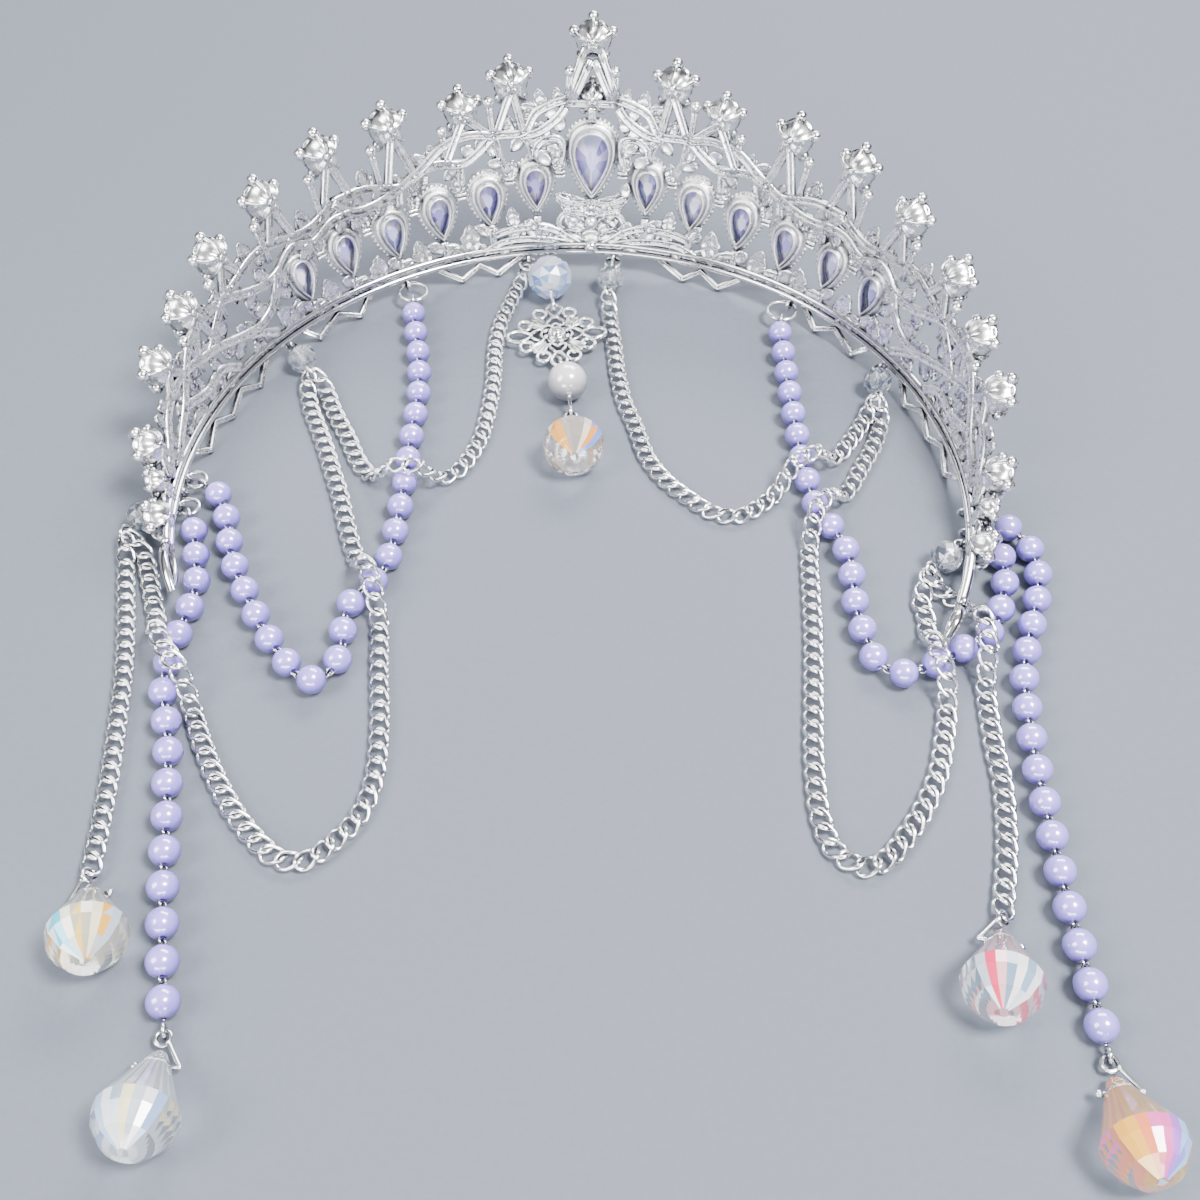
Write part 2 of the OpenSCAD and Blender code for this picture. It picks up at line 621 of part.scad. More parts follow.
// Round cup with ball prongs, its open side away from the head
module star_cup(k) {
  rotate_extrude()
    polygon([for (q = cup_profile) q * k]);
  for (i = [0:1:prongs - 1]) {
    rotate([0, 0, 90 + i * 360 / prongs])
      translate([prong_at * k, 0, prong_z[1] * k])
        cylinder(h = (prong_z[0] - prong_z[1]) * k, r = prong_r * k, $fn = small_sides);
  }
}

// Two wires of the band, from one end to the other
module band_wires() {
  for (i = [0, 1]) {
    z = band_z + i * wire_pitch;
    translate([0, 0, z])
      rotate([0, 0, 90 - right_band_end])
        rotate_extrude(angle = left_band_end + right_band_end)
          translate([wall_r(z), 0])
            circle(band_wire / 2, $fn = wire_sides);
  }
}

module end_loop(s, loop) {
  on_wall(s * loop[0], loop_z)
    translate([0, 0, -loop_t / 2])
      linear_extrude(loop_t)
        difference() {
          polygon(almond(loop[1], loop[2]));
          polygon(almond(loop[1] - loop_rim[0], loop[2] - loop_rim[1]));
        }
}

// A stud standing on the wall
module stud(a, z) {
  on_wall(a, z)
    cylinder(h = stud_h, r = stud_r, center = true, $fn = small_sides);
}

// The soldered metal of the tiara
module crown_frame() {
  color(silver) {
    for (ac = [-panel_last:panel_step:panel_last])
      wall_panel(ac);
    band_wires();
    end_loop(-1, left_loop);
    end_loop(1, right_loop);
    on_wall(0, centre_pear_z)
      pear_setting([centre_stone_w, centre_stone_l], centre_rim, centre_window);
    on_wall(0, crest_z)
      star_cup(crest_k);
    on_wall(0, peak_z)
      star_cup(1);
    for (i = [0, 1])
      on_wall(0, boss_z[i])
        cylinder(h = boss_h, r = boss_r[i], center = true);
    both_sides()
      frame_half();
    for (g = LUGS)
      translate(polar(band_r, g[0], g[1], lug_z))
        rotate([90, 0, -g[0] * g[1] - 90])
          torus(lug_r, lug_wire);
  }
}

// Settings, cups, studs and feet of the right half
module frame_half() {
  for (p = PEARS)
    on_wall(p[0], p[1])
      pear_setting([pear_stone_w, pear_stone_l], side_rim, side_window);
  for (i = [0:len(STARS) - 1]) {
    st = STARS[i];
    on_wall(st[star_a], st[star_z])
      star_cup(st[star_k]);
    if (i < stud_cups)
      stud(st[star_a] + stud_offset[0], st[star_z] + stud_offset[1]);
  }
  stud(knob[0], knob[1]);
  for (a = FEET)
    translate(polar(wall_r(foot_h / 2), 1, a, 0))
      cylinder(h = foot_h, r = foot_r, $fn = small_sides);
}

// Cut pear stone in the frame of its setting: a keel at the back and a table in front
module pear_gem(stone) {
  color(lilac)
    loft([for (q = gem_levels) [for (p = pear(stone[0] * q[1], stone[1] * q[1], gem_sides)) [p[0], p[1],
    q[0]]]]);
}

// Round cut stone in the frame of its cup
module round_gem(k) {
  color(crystal)
    rotate_extrude($fn = round_gem_sides)
      polygon([for (q = round_levels) [q[1] * star_stone_d / 2 * k, q[0] * k]]);
}

module side_stone(s, i) {
  on_wall(s * PEARS[i][0], PEARS[i][1])
    pear_gem([pear_stone_w, pear_stone_l]);
}

module star_stones(s) {
  for (st = STARS)
    on_wall(s * st[star_a], st[star_z])
      round_gem(st[star_k]);
}

// Line of a strand: flat points, heights of its two ends, and the crossings that it climbs,
// each with its place and the run of the climb
function rise(q, over) = len(over) == 0 ? 0
  : max([for (c = over) min(1, climb_flat * (1 + cos(180 * min(norm(q - xy(c)) / c[2], 1))) / 2)]);
function strand(p, base, z0, z1, over) = let (q = smooth(p, 8), s = run(q), l = s[len(s) - 1])
  [for (i = [0:len(q) - 1]) [q[i][0], q[i][1], base + over_pearls * rise(q[i], over)
    + (z0 - base) * max(0, 1 - s[i] / end_run) + (z1 - base) * max(0, 1 - (l - s[i]) / end_run)]];
function total(t) = t[0][len(t[0]) - 1][0];

// Count and step of the pieces on a strand of length l, with a lead at each end
function steps(l, lead, pitch) = let (n = ceil((l - 2 * lead) / pitch)) [n + 1, (l - 2 * lead) / n];

module pearls(p) {
  t = tables(p);
  st = steps(total(t), pearl_lead, pearl_pitch);
  color(lilac)
    for (i = [0:st[0] - 1]) {
      at = pearl_lead + i * st[1];
      aim(place(t, at), heading(t, at))
        difference() {
          sphere(pearl_d / 2);
          cylinder(h = pearl_d + 1, r = hole_r, center = true, $fn = wire_sides);
        }
    }
}

// Wire through the pearls, straight inside each of them, with an eye at both ends
module thread(p) {
  t = tables(p);
  l = total(t);
  st = steps(l, pearl_lead, pearl_pitch);
  half = pearl_d * thread_straight;
  inner = [for (i = [0:st[0] - 1]) let (at = pearl_lead + i * st[1], c = place(t, at), d = heading(t, at))
    each [c - half * d, c + half * d]];
  line = concat([place(t, eye_r)], inner, [place(t, l - eye_r)]);
  color(silver) {
    bar(line, [for (q = line) thread_r], strand_sides);
    aim(place(t, 0), heading(t, look))
      eye(90);
    aim(place(t, l), heading(t, l - look))
      eye(90);
  }
}

// Each link is turned a quarter against its neighbours
function roll_of(i) = i % 2 == 0 ? 45 : -45;
function chain_count(p) = steps(total(tables(p)), link_r, link_pitch)[0];
module chain(p) {
  t = tables(p);
  st = steps(total(t), link_r, link_pitch);
  color(silver)
    for (i = [0:st[0] - 1]) {
      at = link_r + i * st[1];
      aim(place(t, at), heading(t, at))
        eye(roll_of(i), link_r, link_wire / 2);
    }
}

// A long chain as one bar that narrows at its two ends
module chain_bar(p) {
  t = tables(p);
  l = total(t);
  n = floor(l / bar_step);
  radii = [for (i = [0:n]) let (k = min(i,
  n - i)) k == 0 ? tube_end_r : (k == 1 ? (tube_r + tube_end_r) / 2 : tube_r)];
  color(silver)
    bar([for (i = [0:n]) place(t, l * i / n)], radii, strand_sides);
}

// Pin through a bead: centre, direction, half length of the bead, and the turn of each eye
function pin_eye(half) = half + eye_r + eye_wire + gap;
module bead_pin(c, d, half, roll_0, roll_1) {
  far = pin_eye(half);
  color(silver)
    aim(c, d) {
      translate([0, 0, eye_r - far])
        cylinder(h = 2 * (far - eye_r), r = eye_wire, $fn = wire_sides);
      translate([0, 0, -far])
        eye(roll_0);
      translate([0, 0, far])
        eye(roll_1);
    }
}

// Cut bead with a hole for its pin
module cut_bead(c, d, size, sides) {
  color(crystal)
    aim(c, d)
      rotate_extrude($fn = sides)
        polygon([for (q = bead_profile) [max(q[0] * size / 2, pin_hole_r), q[1] * size / 2]]);
}

module drop_frame(top, az) {
  translate([top[0], top[1], drop_top_z])
    rotate([0, 0, az])
      rotate([0, 90 - drop_tilt, 0])
        children();
}

module crystal_drop(top, az) {
  color(crystal)
    drop_frame(top, az)
      difference() {
        rotate([0, 0, 180 / drop_sides])
          rotate_extrude($fn = drop_sides)
            polygon(concat([[0, 0]], [for (q = drop_profile) [q[1] * drop_w / drop_base_w, q[0]]],
            [[0, drop_h]]));
        translate([0, 0, drop_hole_at])
          rotate([90, 0, 0])
            cylinder(h = drop_w, r = drop_hole_r, center = true, $fn = wire_sides);
      }
}

// Straight wire between two points
module wire(a, b, r) {
  aim(a, b - a)
    cylinder(h = norm(b - a), r = r, $fn = wire_sides);
}

// Place of the eye that carries a drop, and of the eye or link that it hangs from
function drop_eye(top, az,
  more) = let (back = headpin_eye_back * cos(drop_tilt) + headpin_up * sin(drop_tilt) + more)
  [top[0] - back * cos(az), top[1] - back * sin(az)];

// Ball that closes a bend of a wire
module elbow(p, r = elbow_r) {
  translate(p)
    sphere(r, $fn = small_sides);
}

// Bent pin across the top of a drop, with a ball at one end and an eye at the other;
// its neck is on the side to which the eye leans
module headpin(top, az, roll) {
  way = roll < 0 ? -1 : 1;
  ball = [0, -way * headpin_ball_at, drop_hole_at];
  bend = [0, way * headpin_reach, drop_hole_at];
  neck = [-headpin_up, way * headpin_side, -headpin_neck];
  centre = drop_eye(top, az, 0);
  color(silver) {
    drop_frame(top, az) {
      wire(ball, bend, eye_wire);
      elbow(ball, headpin_ball);
      elbow(bend);
      wire(bend, neck, eye_wire);
      elbow(neck);
    }
    aim([centre[0], centre[1], headpin_eye_z], [cos(az), sin(az), 0])
      eye(roll);
  }
}

// Pin that bends down at both ends of a bead, with an eye at each end
module bent_pin(c, d, half, ends) {
  out = half + eye_wire + gap;
  color(silver) {
    wire(c - out * d, c + out * d, eye_wire);
    for (i = [0, 1]) {
      exit = c + (i == 0 ? -out : out) * d;
      e = ends[i];
      u = unit(e[0] - exit);
      elbow(exit);
      wire(exit, e[0] - e[1] * u, eye_wire);
      aim(e[0], u)
        eye(90, e[1]);
    }
  }
}

// Pierced plate of the pendant: lobes round a domed button, with a hole in each lobe
module filigree_outline() {
  for (i = [0:3]) {
    rotate([0, 0, 90 * i]) {
      translate([0, lobe_at])
        circle(lobe_r);
      if (i % 2 == 1)
        translate([0, lobe_at])
          rotate([0, 0, 45])
            square(lobe_r);
    }
    rotate([0, 0, 45 + 90 * i])
      translate([0, fan_at])
        circle(fan_r);
    for (t = [-curl_turn, curl_turn])
      rotate([0, 0, 90 * i + t])
        translate([0, curl_at])
          circle(curl_r);
  }
  circle(hub_r);
}
module filigree_holes() {
  for (i = [0:3]) {
    rotate([0, 0, 90 * i]) {
      translate([0, lobe_hole_at])
        circle(lobe_hole_r);
      translate([0, axis_hole_at])
        circle(axis_hole_r);
    }
    rotate([0, 0, 45 + 90 * i])
      translate([0, fan_hole_at])
        circle(fan_hole_r);
    for (t = [-curl_turn, curl_turn])
      rotate([0, 0, 90 * i + t])
        translate([0, curl_at])
          circle(curl_hole_r);
  }
}
module filigree_plate() {
  color(silver)
    translate(plate_centre)
      rotate([plate_tilt, 0, plate_turn]) {
        translate([0, 0, -plate_t / 2])
          linear_extrude(plate_t)
            difference() {
              filigree_outline();
              filigree_holes();
            }
        cylinder(h = button_h, r = button_r);
      }
}

module white_pearl() {
  color("white")
    aim(white_centre, white_dir)
      difference() {
        sphere(white_pearl_d / 2);
        cylinder(h = white_pearl_d + 1, r = pin_hole_r, center = true, $fn = wire_sides);
      }
}

module jump_rings(rings) {
  color(silver)
    for (g = rings)
      translate(ring_centre(g))
        torus(g[2], ring_wire);
}

// Lines of the strands, from eye to eye
function left_swag() = strand(concat([xy(ring_exit(LEFT_RINGS[0], LEFT_SWAG[0]))], LEFT_SWAG,
  [xy(ring_exit(LEFT_RINGS[1], last(LEFT_SWAG)))]), pearl_d / 2, lug_z, lug_z, []);
function left_tail() = strand(concat([xy(ring_exit(LEFT_RINGS[2], LEFT_TAIL[0]))], LEFT_TAIL,
  [drop_eye(top_left_pearl, az_left_pearl, eye_r)]), pearl_d / 2, lug_z, thread_end_z, []);
function right_swag() = strand(concat([xy(ring_exit(RIGHT_RINGS[0], RIGHT_SWAG[0]))], RIGHT_SWAG,
  [xy(ring_exit(RIGHT_RINGS[2], last(RIGHT_SWAG)))]), pearl_d / 2, lug_z, lug_z, []);
function right_tail() = strand(concat([xy(ring_exit(RIGHT_RINGS[1], RIGHT_TAIL[0]))], RIGHT_TAIL,
  [drop_eye(top_right_pearl, az_right_pearl, eye_r)]), pearl_d / 2, lug_z, thread_end_z, []);
function left_short() = let (e = far_end(left_eye, left_dir), r = ring_centre(LEFT_RINGS[4]))
  strand(concat([xy(e)], LEFT_SHORT, [[r[0], r[1] - ring_slack]]), link_z, e[2],
  lug_z, [[-31.8, 3.6, over_run]]);
function left_long() = strand(LEFT_LONG, tube_r, tube_r, tube_r, [[-34.5, -22.8, over_run],
  [-65.4, -43.6, over_run],
  [-66.6, -38.6, over_run]]);
function left_end() = let (e = far_end(left_end_eye, left_end_dir))
  strand(concat([xy(e)], LEFT_END, [drop_eye(top_left_chain, az_left_chain, 0)]), link_z, e[2],
  headpin_eye_z, []);
function right_short() = let (a = far_end(centre_eye, centre_dir), b = far_end(right_eye, right_dir))
  strand(concat([xy(a)], RIGHT_SHORT, [xy(b)]), link_z, a[2], b[2], [[44.3, 9.8, over_run]]);
function right_long() = strand(RIGHT_LONG, tube_r, tube_r, tube_r, [[47, -1.9, over_run],
  [64.2, -36.2, over_run]]);
function right_end() = let (e = far_end(right_end_eye, right_end_dir))
  strand(concat([xy(e)], RIGHT_END, [drop_eye(top_right_chain, az_right_chain, 0)]), link_z, e[2],
  headpin_eye_z,
    [[72.5, -29.4, short_run], [72.9, -31.8, over_run]]);
function last_roll(p) = roll_of(chain_count(p));

module clear_bead(e, d) {
  cut_bead(e + clear_far * d, d, clear_bead_d, 10);
}
module clear_pin(e, d, roll_0, roll_1) {
  bead_pin(e + clear_far * d, d, clear_half, roll_0, roll_1);
}

module centre_pear_stone() {
  on_wall(0, centre_pear_z)
    pear_gem([centre_stone_w, centre_stone_l]);
}
module peak_stone() {
  on_wall(0, peak_z)
    round_gem(1);
}
module crest_stone() {
  on_wall(0, crest_z)
    round_gem(crest_k);
}
module big_bead() {
  cut_bead(big_centre, big_dir, big_bead_d, 12);
}
module big_bead_pin() {
  bent_pin(big_centre, big_dir, bead_half * big_bead_d / 2, [[big_eye, eye_r], [plate_top, plate_eye_r]]);
}
module pendant_pin() {
  bent_pin(white_centre, white_dir, white_pearl_d / 2, [[plate_bottom, plate_eye_r], [white_low, eye_r]]);
}

crown_frame();
centre_pear_stone();
peak_stone();
crest_stone();
side_stone(-1, 0);  // pear_stone_left_1
side_stone(-1, 1);  // pear_stone_left_2
side_stone(-1, 2);  // pear_stone_left_3
side_stone(-1, 3);  // pear_stone_left_4
side_stone(-1, 4);  // pear_stone_left_5
side_stone(-1, 5);  // pear_stone_left_6
side_stone(1, 0);  // pear_stone_right_1
side_stone(1, 1);  // pear_stone_right_2
side_stone(1, 2);  // pear_stone_right_3
side_stone(1, 3);  // pear_stone_right_4
side_stone(1, 4);  // pear_stone_right_5
side_stone(1, 5);  // pear_stone_right_6
star_stones(-1);  // star_stones_left
star_stones(1);  // star_stones_right
pearls(left_swag());  // pearls_left_swag
pearls(left_tail());  // pearls_left_tail
pearls(right_swag());  // pearls_right_swag
pearls(right_tail());  // pearls_right_tail
thread(left_swag());  // thread_left_swag
thread(left_tail());  // thread_left_tail
thread(right_swag());  // thread_right_swag
thread(right_tail());  // thread_right_tail
chain(left_short());  // chain_left_short
chain_bar(left_long());  // chain_left_long
chain(left_end());  // chain_left_tail
chain(right_short());  // chain_right_short
chain_bar(right_long());  // chain_right_long
chain(right_end());  // chain_right_tail
clear_bead(left_eye, left_dir);  // clear_bead_left
clear_bead(centre_eye, centre_dir);  // clear_bead_centre
clear_bead(right_eye, right_dir);  // clear_bead_right
clear_bead(left_end_eye, left_end_dir);  // clear_bead_left_end
clear_bead(right_end_eye, right_end_dir);  // clear_bead_right_end
clear_pin(left_eye, left_dir, 0, -45);  // bead_pin_left
clear_pin(centre_eye, centre_dir, 90, -45);  // bead_pin_centre
clear_pin(right_eye, right_dir, 0,  // bead_pin_right
  -last_roll(right_short()));
clear_pin(left_end_eye, left_end_dir, 90, -45);  // bead_pin_left_end
clear_pin(right_end_eye, right_end_dir, 0, -45);  // bead_pin_right_end
big_bead();
big_bead_pin();
filigree_plate();
white_pearl();
pendant_pin();
crystal_drop(top_centre, az_centre);  // drop_centre
crystal_drop(top_left_chain, az_left_chain);  // drop_left_chain
crystal_drop(top_left_pearl, az_left_pearl);  // drop_left_pearl
crystal_drop(top_right_chain, az_right_chain);  // drop_right_chain
crystal_drop(top_right_pearl, az_right_pearl);  // drop_right_pearl
headpin(top_centre, az_centre, 0);  // headpin_centre
headpin(top_left_chain, az_left_chain,  // headpin_left_chain
  last_roll(left_end()));
headpin(top_left_pearl, az_left_pearl, 0);  // headpin_left_pearl
headpin(top_right_chain, az_right_chain,  // headpin_right_chain
  last_roll(right_end()));
headpin(top_right_pearl, az_right_pearl, 0);  // headpin_right_pearl
jump_rings(LEFT_RINGS);  // jump_rings_left
jump_rings(RIGHT_RINGS);  // jump_rings_right
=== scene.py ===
"""Looks of the baroque tiara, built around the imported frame. Sizes in the tables are millimetres."""
import math

import bmesh
import bpy
import numpy as np
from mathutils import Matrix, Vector


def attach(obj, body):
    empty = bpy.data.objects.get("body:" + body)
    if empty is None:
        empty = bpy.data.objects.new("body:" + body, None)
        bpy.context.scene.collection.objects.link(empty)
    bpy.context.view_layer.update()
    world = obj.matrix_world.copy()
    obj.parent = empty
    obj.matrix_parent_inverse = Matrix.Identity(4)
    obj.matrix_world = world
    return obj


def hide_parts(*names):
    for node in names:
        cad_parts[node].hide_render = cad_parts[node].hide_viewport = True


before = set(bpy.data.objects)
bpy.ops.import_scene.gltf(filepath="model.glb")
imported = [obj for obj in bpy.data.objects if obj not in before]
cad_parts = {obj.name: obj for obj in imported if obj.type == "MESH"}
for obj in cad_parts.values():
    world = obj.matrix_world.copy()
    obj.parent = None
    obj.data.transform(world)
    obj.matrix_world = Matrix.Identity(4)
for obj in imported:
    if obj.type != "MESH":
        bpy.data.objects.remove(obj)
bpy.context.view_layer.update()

MM = 0.001
TAU = 2 * math.pi

# Camera of the photograph
CAMERA_AT = (0.0139, -0.1792, 0.1903)
CAMERA_TURN = (39.5, 0, 2.7)
CAMERA_LENS = 41.3
CAMERA_SENSOR = 36

camera_data = bpy.data.cameras.new("camera")
camera_data.lens = CAMERA_LENS
camera_data.sensor_width = CAMERA_SENSOR
camera_data.clip_start = 0.01
camera = bpy.data.objects.new("camera", camera_data)
camera.location = CAMERA_AT
camera.rotation_euler = [math.radians(t) for t in CAMERA_TURN]
bpy.context.scene.collection.objects.link(camera)
bpy.context.scene.camera = camera

# Band, wall, end loops, lugs and small balls
BAND_R = 73.5
BAND_Z = 4.6
LEAN = math.radians(15)
WALL_T = 1.3
WIRE_PITCH = 1.7
LEFT_BAND_END = 104.5
RIGHT_BAND_END = 110.5
LOOP_Z = 5.45
LEFT_LOOP = (107.8, 12.4, 4.6)
RIGHT_LOOP = (113, 8.6, 4.4)
LUG_Z = 2.85
LUG_R = 1.2
LUG_WIRE = 0.4
BAND_WIRE = (0.68, 0.75)
MIDDLE_WIRE = 0.4
LOOP_RIM = (3.6, 2.2)
KNOB_R = 1.2
FOOT_R = 0.7

# Pearls, beads, eyes and links
PEARL_R = 2.5
PEARL_PITCH = 6.4
EYE_R = 1.1
EYE_WIRE = 0.35
GAP = 0.15
LINK_R = 1.9
LINK_PITCH = 2.8
LINK_Z = 1.75
LINK_TURN = math.radians(-24)
LINK_HALF = 2.05
LINK_WIDE = 1.38
LINK_LIFT = 0.1
LINK_TWIST = 0.5
LINK_WIRE = 0.35
TUBE_R = 1.5
OVER_PEARLS = 5.2
OVER_RUN = 9
SHORT_RUN = 8
CLIMB_FLAT = 1.15
END_RUN = 6
RING_SLACK = 0.6
CLEAR_R = 3
CLEAR_HALF = 0.93 * CLEAR_R
CLEAR_FAR = CLEAR_HALF + EYE_R + EYE_WIRE + GAP
PEARL_LEAD = EYE_R + EYE_WIRE + PEARL_R + GAP
WHITE_PEARL_R = 4
DRILL_R = 0.42
KNOT_R = 0.62
KNOT_WIRE = 0.2
KNOT_SHIFT = 0.42
KNOT_STRETCH = (1.25, 1)
THREAD_R = 0.22

# Widths of the cast strips, and the run from sprig to sprig
VINE_WIDE = 2.1
SCROLL_WIDE = 1.7
CENTRE_SCROLL_WIDE = 1.25
CREST_WIDE = 1.7
LEG_WIDE = 1.85
STUD_WIDE = 1.35
FRINGE_WIDE = 1.3
VINE_SPRIG_STEP = 4.4
SCROLL_SPRIG_STEP = 5.2

# Pear settings: window, stone, and how much wider and longer the rim is than the stone
CENTRE_SETTING = ((7, 12), (9, 14.5), (2.6, 3.7))
SIDE_SETTING = ((4, 7.6), (6.4, 10), (2.4, 3))
RIM_BEAD_R = 0.55
RIM_BEAD_PITCH = 1.05

# Round cups: place of a ball prong, as radius and height, and the sizes of prong and claw
PRONG = (4.15, -2.5)
PRONG_R = 1.25
CLAW_R = 0.5

# Round cups on the right half: angle, height, size, and the feet of their two legs
STARS = [
    (11.6, 39.6, 1, (10.3, 30), (14.4, 30.2)),
    (19, 35.2, 0.96, (15.2, 30), (22.6, 25.6)),
    (30, 35, 1, (27.6, 24.6), (32.2, 23.8)),
    (40.4, 34, 1, (38.4, 25.2), (42.8, 24.8)),
    (51, 30.8, 1, (49, 22.4), (53.4, 23.2)),
    (62, 27.2, 0.97, (59.6, 21.8), (64.4, 20.2)),
    (70.8, 22.8, 0.94, (68.4, 14), (73.8, 15)),
    (80, 20, 0.92, (77.4, 15.4), (82.6, 14.8)),
    (90.6, 13.6, 0.88, (88.6, 8), (92.6, 8)),
    (94.7, 10, 0.58, (94.2, 6.6), (95.4, 6.6)),
    (99.2, 6.7, 0.84, (98.2, 5.6), (100, 5.6)),
]
PEARS = [(8.9, 18.5), (16.6, 16.2), (24.8, 15.2), (32.9, 14), (41.4, 14), (49.8, 13.4)]
CENTRE_PEAR_Z = 23.4
CREST_Z = 36.2
CREST_K = 0.78
PEAK_Z = 47.2
STUD_OFFSET = (3.5, -3.1)
STUD_FOOT = (3.3, -10.4)
STUD_CUPS = 7
KNOB = (3.2, 41.5)
CENTRE_BALLS = [(10.9, 1.6), (5.6, 1.5)]

# Vines, scrolls, struts and fringe of the right half, as angle and height
VINES = [
    [(3.8, 36.2), (5.8, 35.4), (8.4, 33.6), (10.3, 30), (14.6, 29.8), (17.2, 27.2), (20.2, 25.2),
     (25, 26), (30.2, 23.4), (36, 25.2), (41.4, 25)],
    [(3.9, 34.6), (5.4, 32.2), (8, 30), (10.6, 29.4)],
    [(14.6, 29.8), (18.6, 30.6), (22.6, 29.4), (26.2, 26.2), (30.2, 23.4), (34.6, 21.6), (38.6, 21.8),
     (41.4, 25)],
    [(41.4, 25), (45.4, 22.6), (49.2, 22.4), (53.2, 23.4), (57, 23.2), (61, 21.4), (64.6, 20),
     (68, 17), (71.2, 14.2), (75.4, 15.4), (79.6, 15.8), (84.6, 14.2), (88.4, 10.6), (92.4, 7.4)],
    [(38.6, 21.8), (42.4, 21.6), (46.2, 19.4), (50, 20.6), (54, 17.6), (58.6, 17.4), (64.6, 20),
     (68.8, 20.2), (73.6, 19), (77.2, 15.6), (80.8, 11.6), (85.2, 8.8), (89.4, 6.6)],
    [(54, 17.6), (56, 13.2), (60, 10.8), (64.6, 11.6), (68.8, 13.4), (71.4, 14.2)],
    [(57.4, 7), (61, 9.6), (64.6, 11.6)],
    [(66.8, 6.6), (70.6, 9.6), (75, 9), (79.2, 10.6), (81.2, 11.4)],
]
SCROLLS = [
    [(2, 6.2), (3.6, 7.4), (5.2, 8.8)],
    [(3.4, 6.2), (7, 7.2), (11, 7.8), (15, 7.6), (18.6, 5.8)],
    [(0, 15.4), (2.8, 15), (5.6, 16.6)],
    [(0, 12.2), (2.4, 13.2), (4.6, 12.6), (5.4, 10.6), (4.6, 9.4)],
    [(5.2, 8.8), (7, 9.8), (8.9, 10.4)],
    [(8.9, 7.4), (8.9, 12.4)],
    [(16.6, 7), (16.6, 10.8)],
    [(10, 10.2), (12.8, 10.2), (16.6, 9.2)],
    [(24.8, 5.4), (24.8, 9.8)],
    [(32.9, 5.4), (32.9, 8.8)],
    [(41.4, 5.4), (41.4, 8.8)],
    [(49.8, 5.4), (49.8, 8.4)],
    [(20.6, 5.4), (22.4, 7.8), (24.8, 8.6)],
    [(28.8, 5.4), (30.6, 7.4), (32.9, 7.8)],
    [(37, 5.4), (39.2, 7.4), (41.4, 7.8)],
    [(45.4, 5.4), (47.6, 7.2), (49.8, 7.6)],
    [(12.9, 22.2), (14.2, 25.4), (14.6, 29.8)],
    [(20.8, 20.4), (20.4, 25.2)],
    [(30.9, 19.6), (30.4, 23.4)],
    [(38.8, 18.2), (38.6, 21.8)],
    [(46.2, 17), (46.4, 19.6)],
    [(10.6, 29.4), (9.4, 27.2), (9, 24.6)],
    [(5, 22.6), (4.6, 27.6), (6.6, 28.6), (8.4, 27), (8.9, 24.6)],
    [(72, 5.6), (71, 9.6)],
    [(77, 5.6), (78.6, 10.4)],
    [(84, 5.6), (84.8, 9)],
    [(94.6, 5), (94.8, 9)],
]
CREST = [
    [(1, 46), (3.9, 35.6)],
    [(0.2, 43.7), (3, 35.3)],
    [(0, 35.4), (3.8, 35.4)],
    [(0, 34.6), (0, 31.8)],
    [(3.3, 38), (3.2, 41.4)],
]
CLIPS = [(4.9, 21.2), (12.9, 20.4), (20.8, 18.6), (28.9, 17.6), (37.1, 16.8), (45.6, 16.4)]

# Leaves: angle and height of the base, length, half width, and tilt from the upright
LEAVES = [
    (7.2, 33.6, 5, 1.5, 12), (4.6, 35.4, 3.4, 1.1, 20), (9.6, 32, 3, 1.3, -10),
    (12.4, 29.8, 3.8, 1.6, 0), (24, 25.8, 4.6, 1.5, 14), (35, 24.8, 4.6, 1.5, 10),
    (46.4, 22.2, 4.8, 1.5, 14), (57.4, 22.8, 4.6, 1.5, 14), (67.4, 17.8, 4.4, 1.4, 10),
    (75.8, 15.2, 4.4, 1.4, 14), (86, 12.8, 4.2, 1.3, 24), (10.2, 29, 8, 1.7, -112),
    (26.2, 25.6, 4.4, 1.4, 160), (34.6, 21.8, 3.6, 1.4, 150), (12.6, 7.6, 3.6, 1.6, -20),
    (7, 7.6, 3.2, 1.5, 30), (20.6, 6, 6.6, 2.2, -4), (28.6, 5.6, 6.2, 2.1, 10),
    (37.2, 5.6, 6, 2.1, -10), (45.6, 5.6, 6, 2.1, 10), (53.6, 6, 6.4, 2.2, 30),
    (53.8, 6, 5.4, 1.8, -26), (58.2, 11.6, 5.4, 1.8, 40), (61.4, 5.6, 3.6, 1.6, 20),
    (67.6, 13.4, 3.6, 1.3, 160), (76.4, 9, 4.6, 1.5, -6), (82.4, 6.2, 4, 1.6, -16),
    (88.6, 6.4, 4.4, 1.4, 10), (3, 15, 4.4, 1.5, 66), (2.6, 8.4, 3.2, 1.4, -26),
    (0, 6.4, 4.6, 2.2, 0), (0.7, 12.6, 5.4, 1.8, 42), (1, 9.4, 5.6, 1.8, 56),
    (1.2, 7.2, 6.4, 1.7, 78), (0, 11.4, 4.8, 1.7, 0), (3.4, 12.8, 4.2, 1.5, 20),
    (12.9, 10.4, 4.6, 1.5, 4), (4.9, 21.8, 4.4, 1.4, 12), (12.9, 20.8, 4, 1.4, -14),
    (20.8, 19.2, 4.2, 1.4, 16), (28.9, 18.2, 4.2, 1.4, -12), (37.1, 17.4, 4, 1.4, 14),
    (45.6, 17, 4, 1.4, -12),
]
FRINGE = [
    [(12, 4.2), (16.4, 0), (19.4, 3.4), (22.8, 0), (26.6, 4.2)],
    [(39.4, 4.2), (42.2, 0), (46, 3.4), (50.6, 0), (53.2, 4.2)],
    [(62, 4.2), (65, 0), (69, 3.4), (73, 0), (77, 3.4), (81, 0), (84.4, 4.2)],
]
FRINGE_LOW = 0.75
FEET = [16.4, 22.8, 42.2, 50.6, 65.0, 73.0, 81.0]
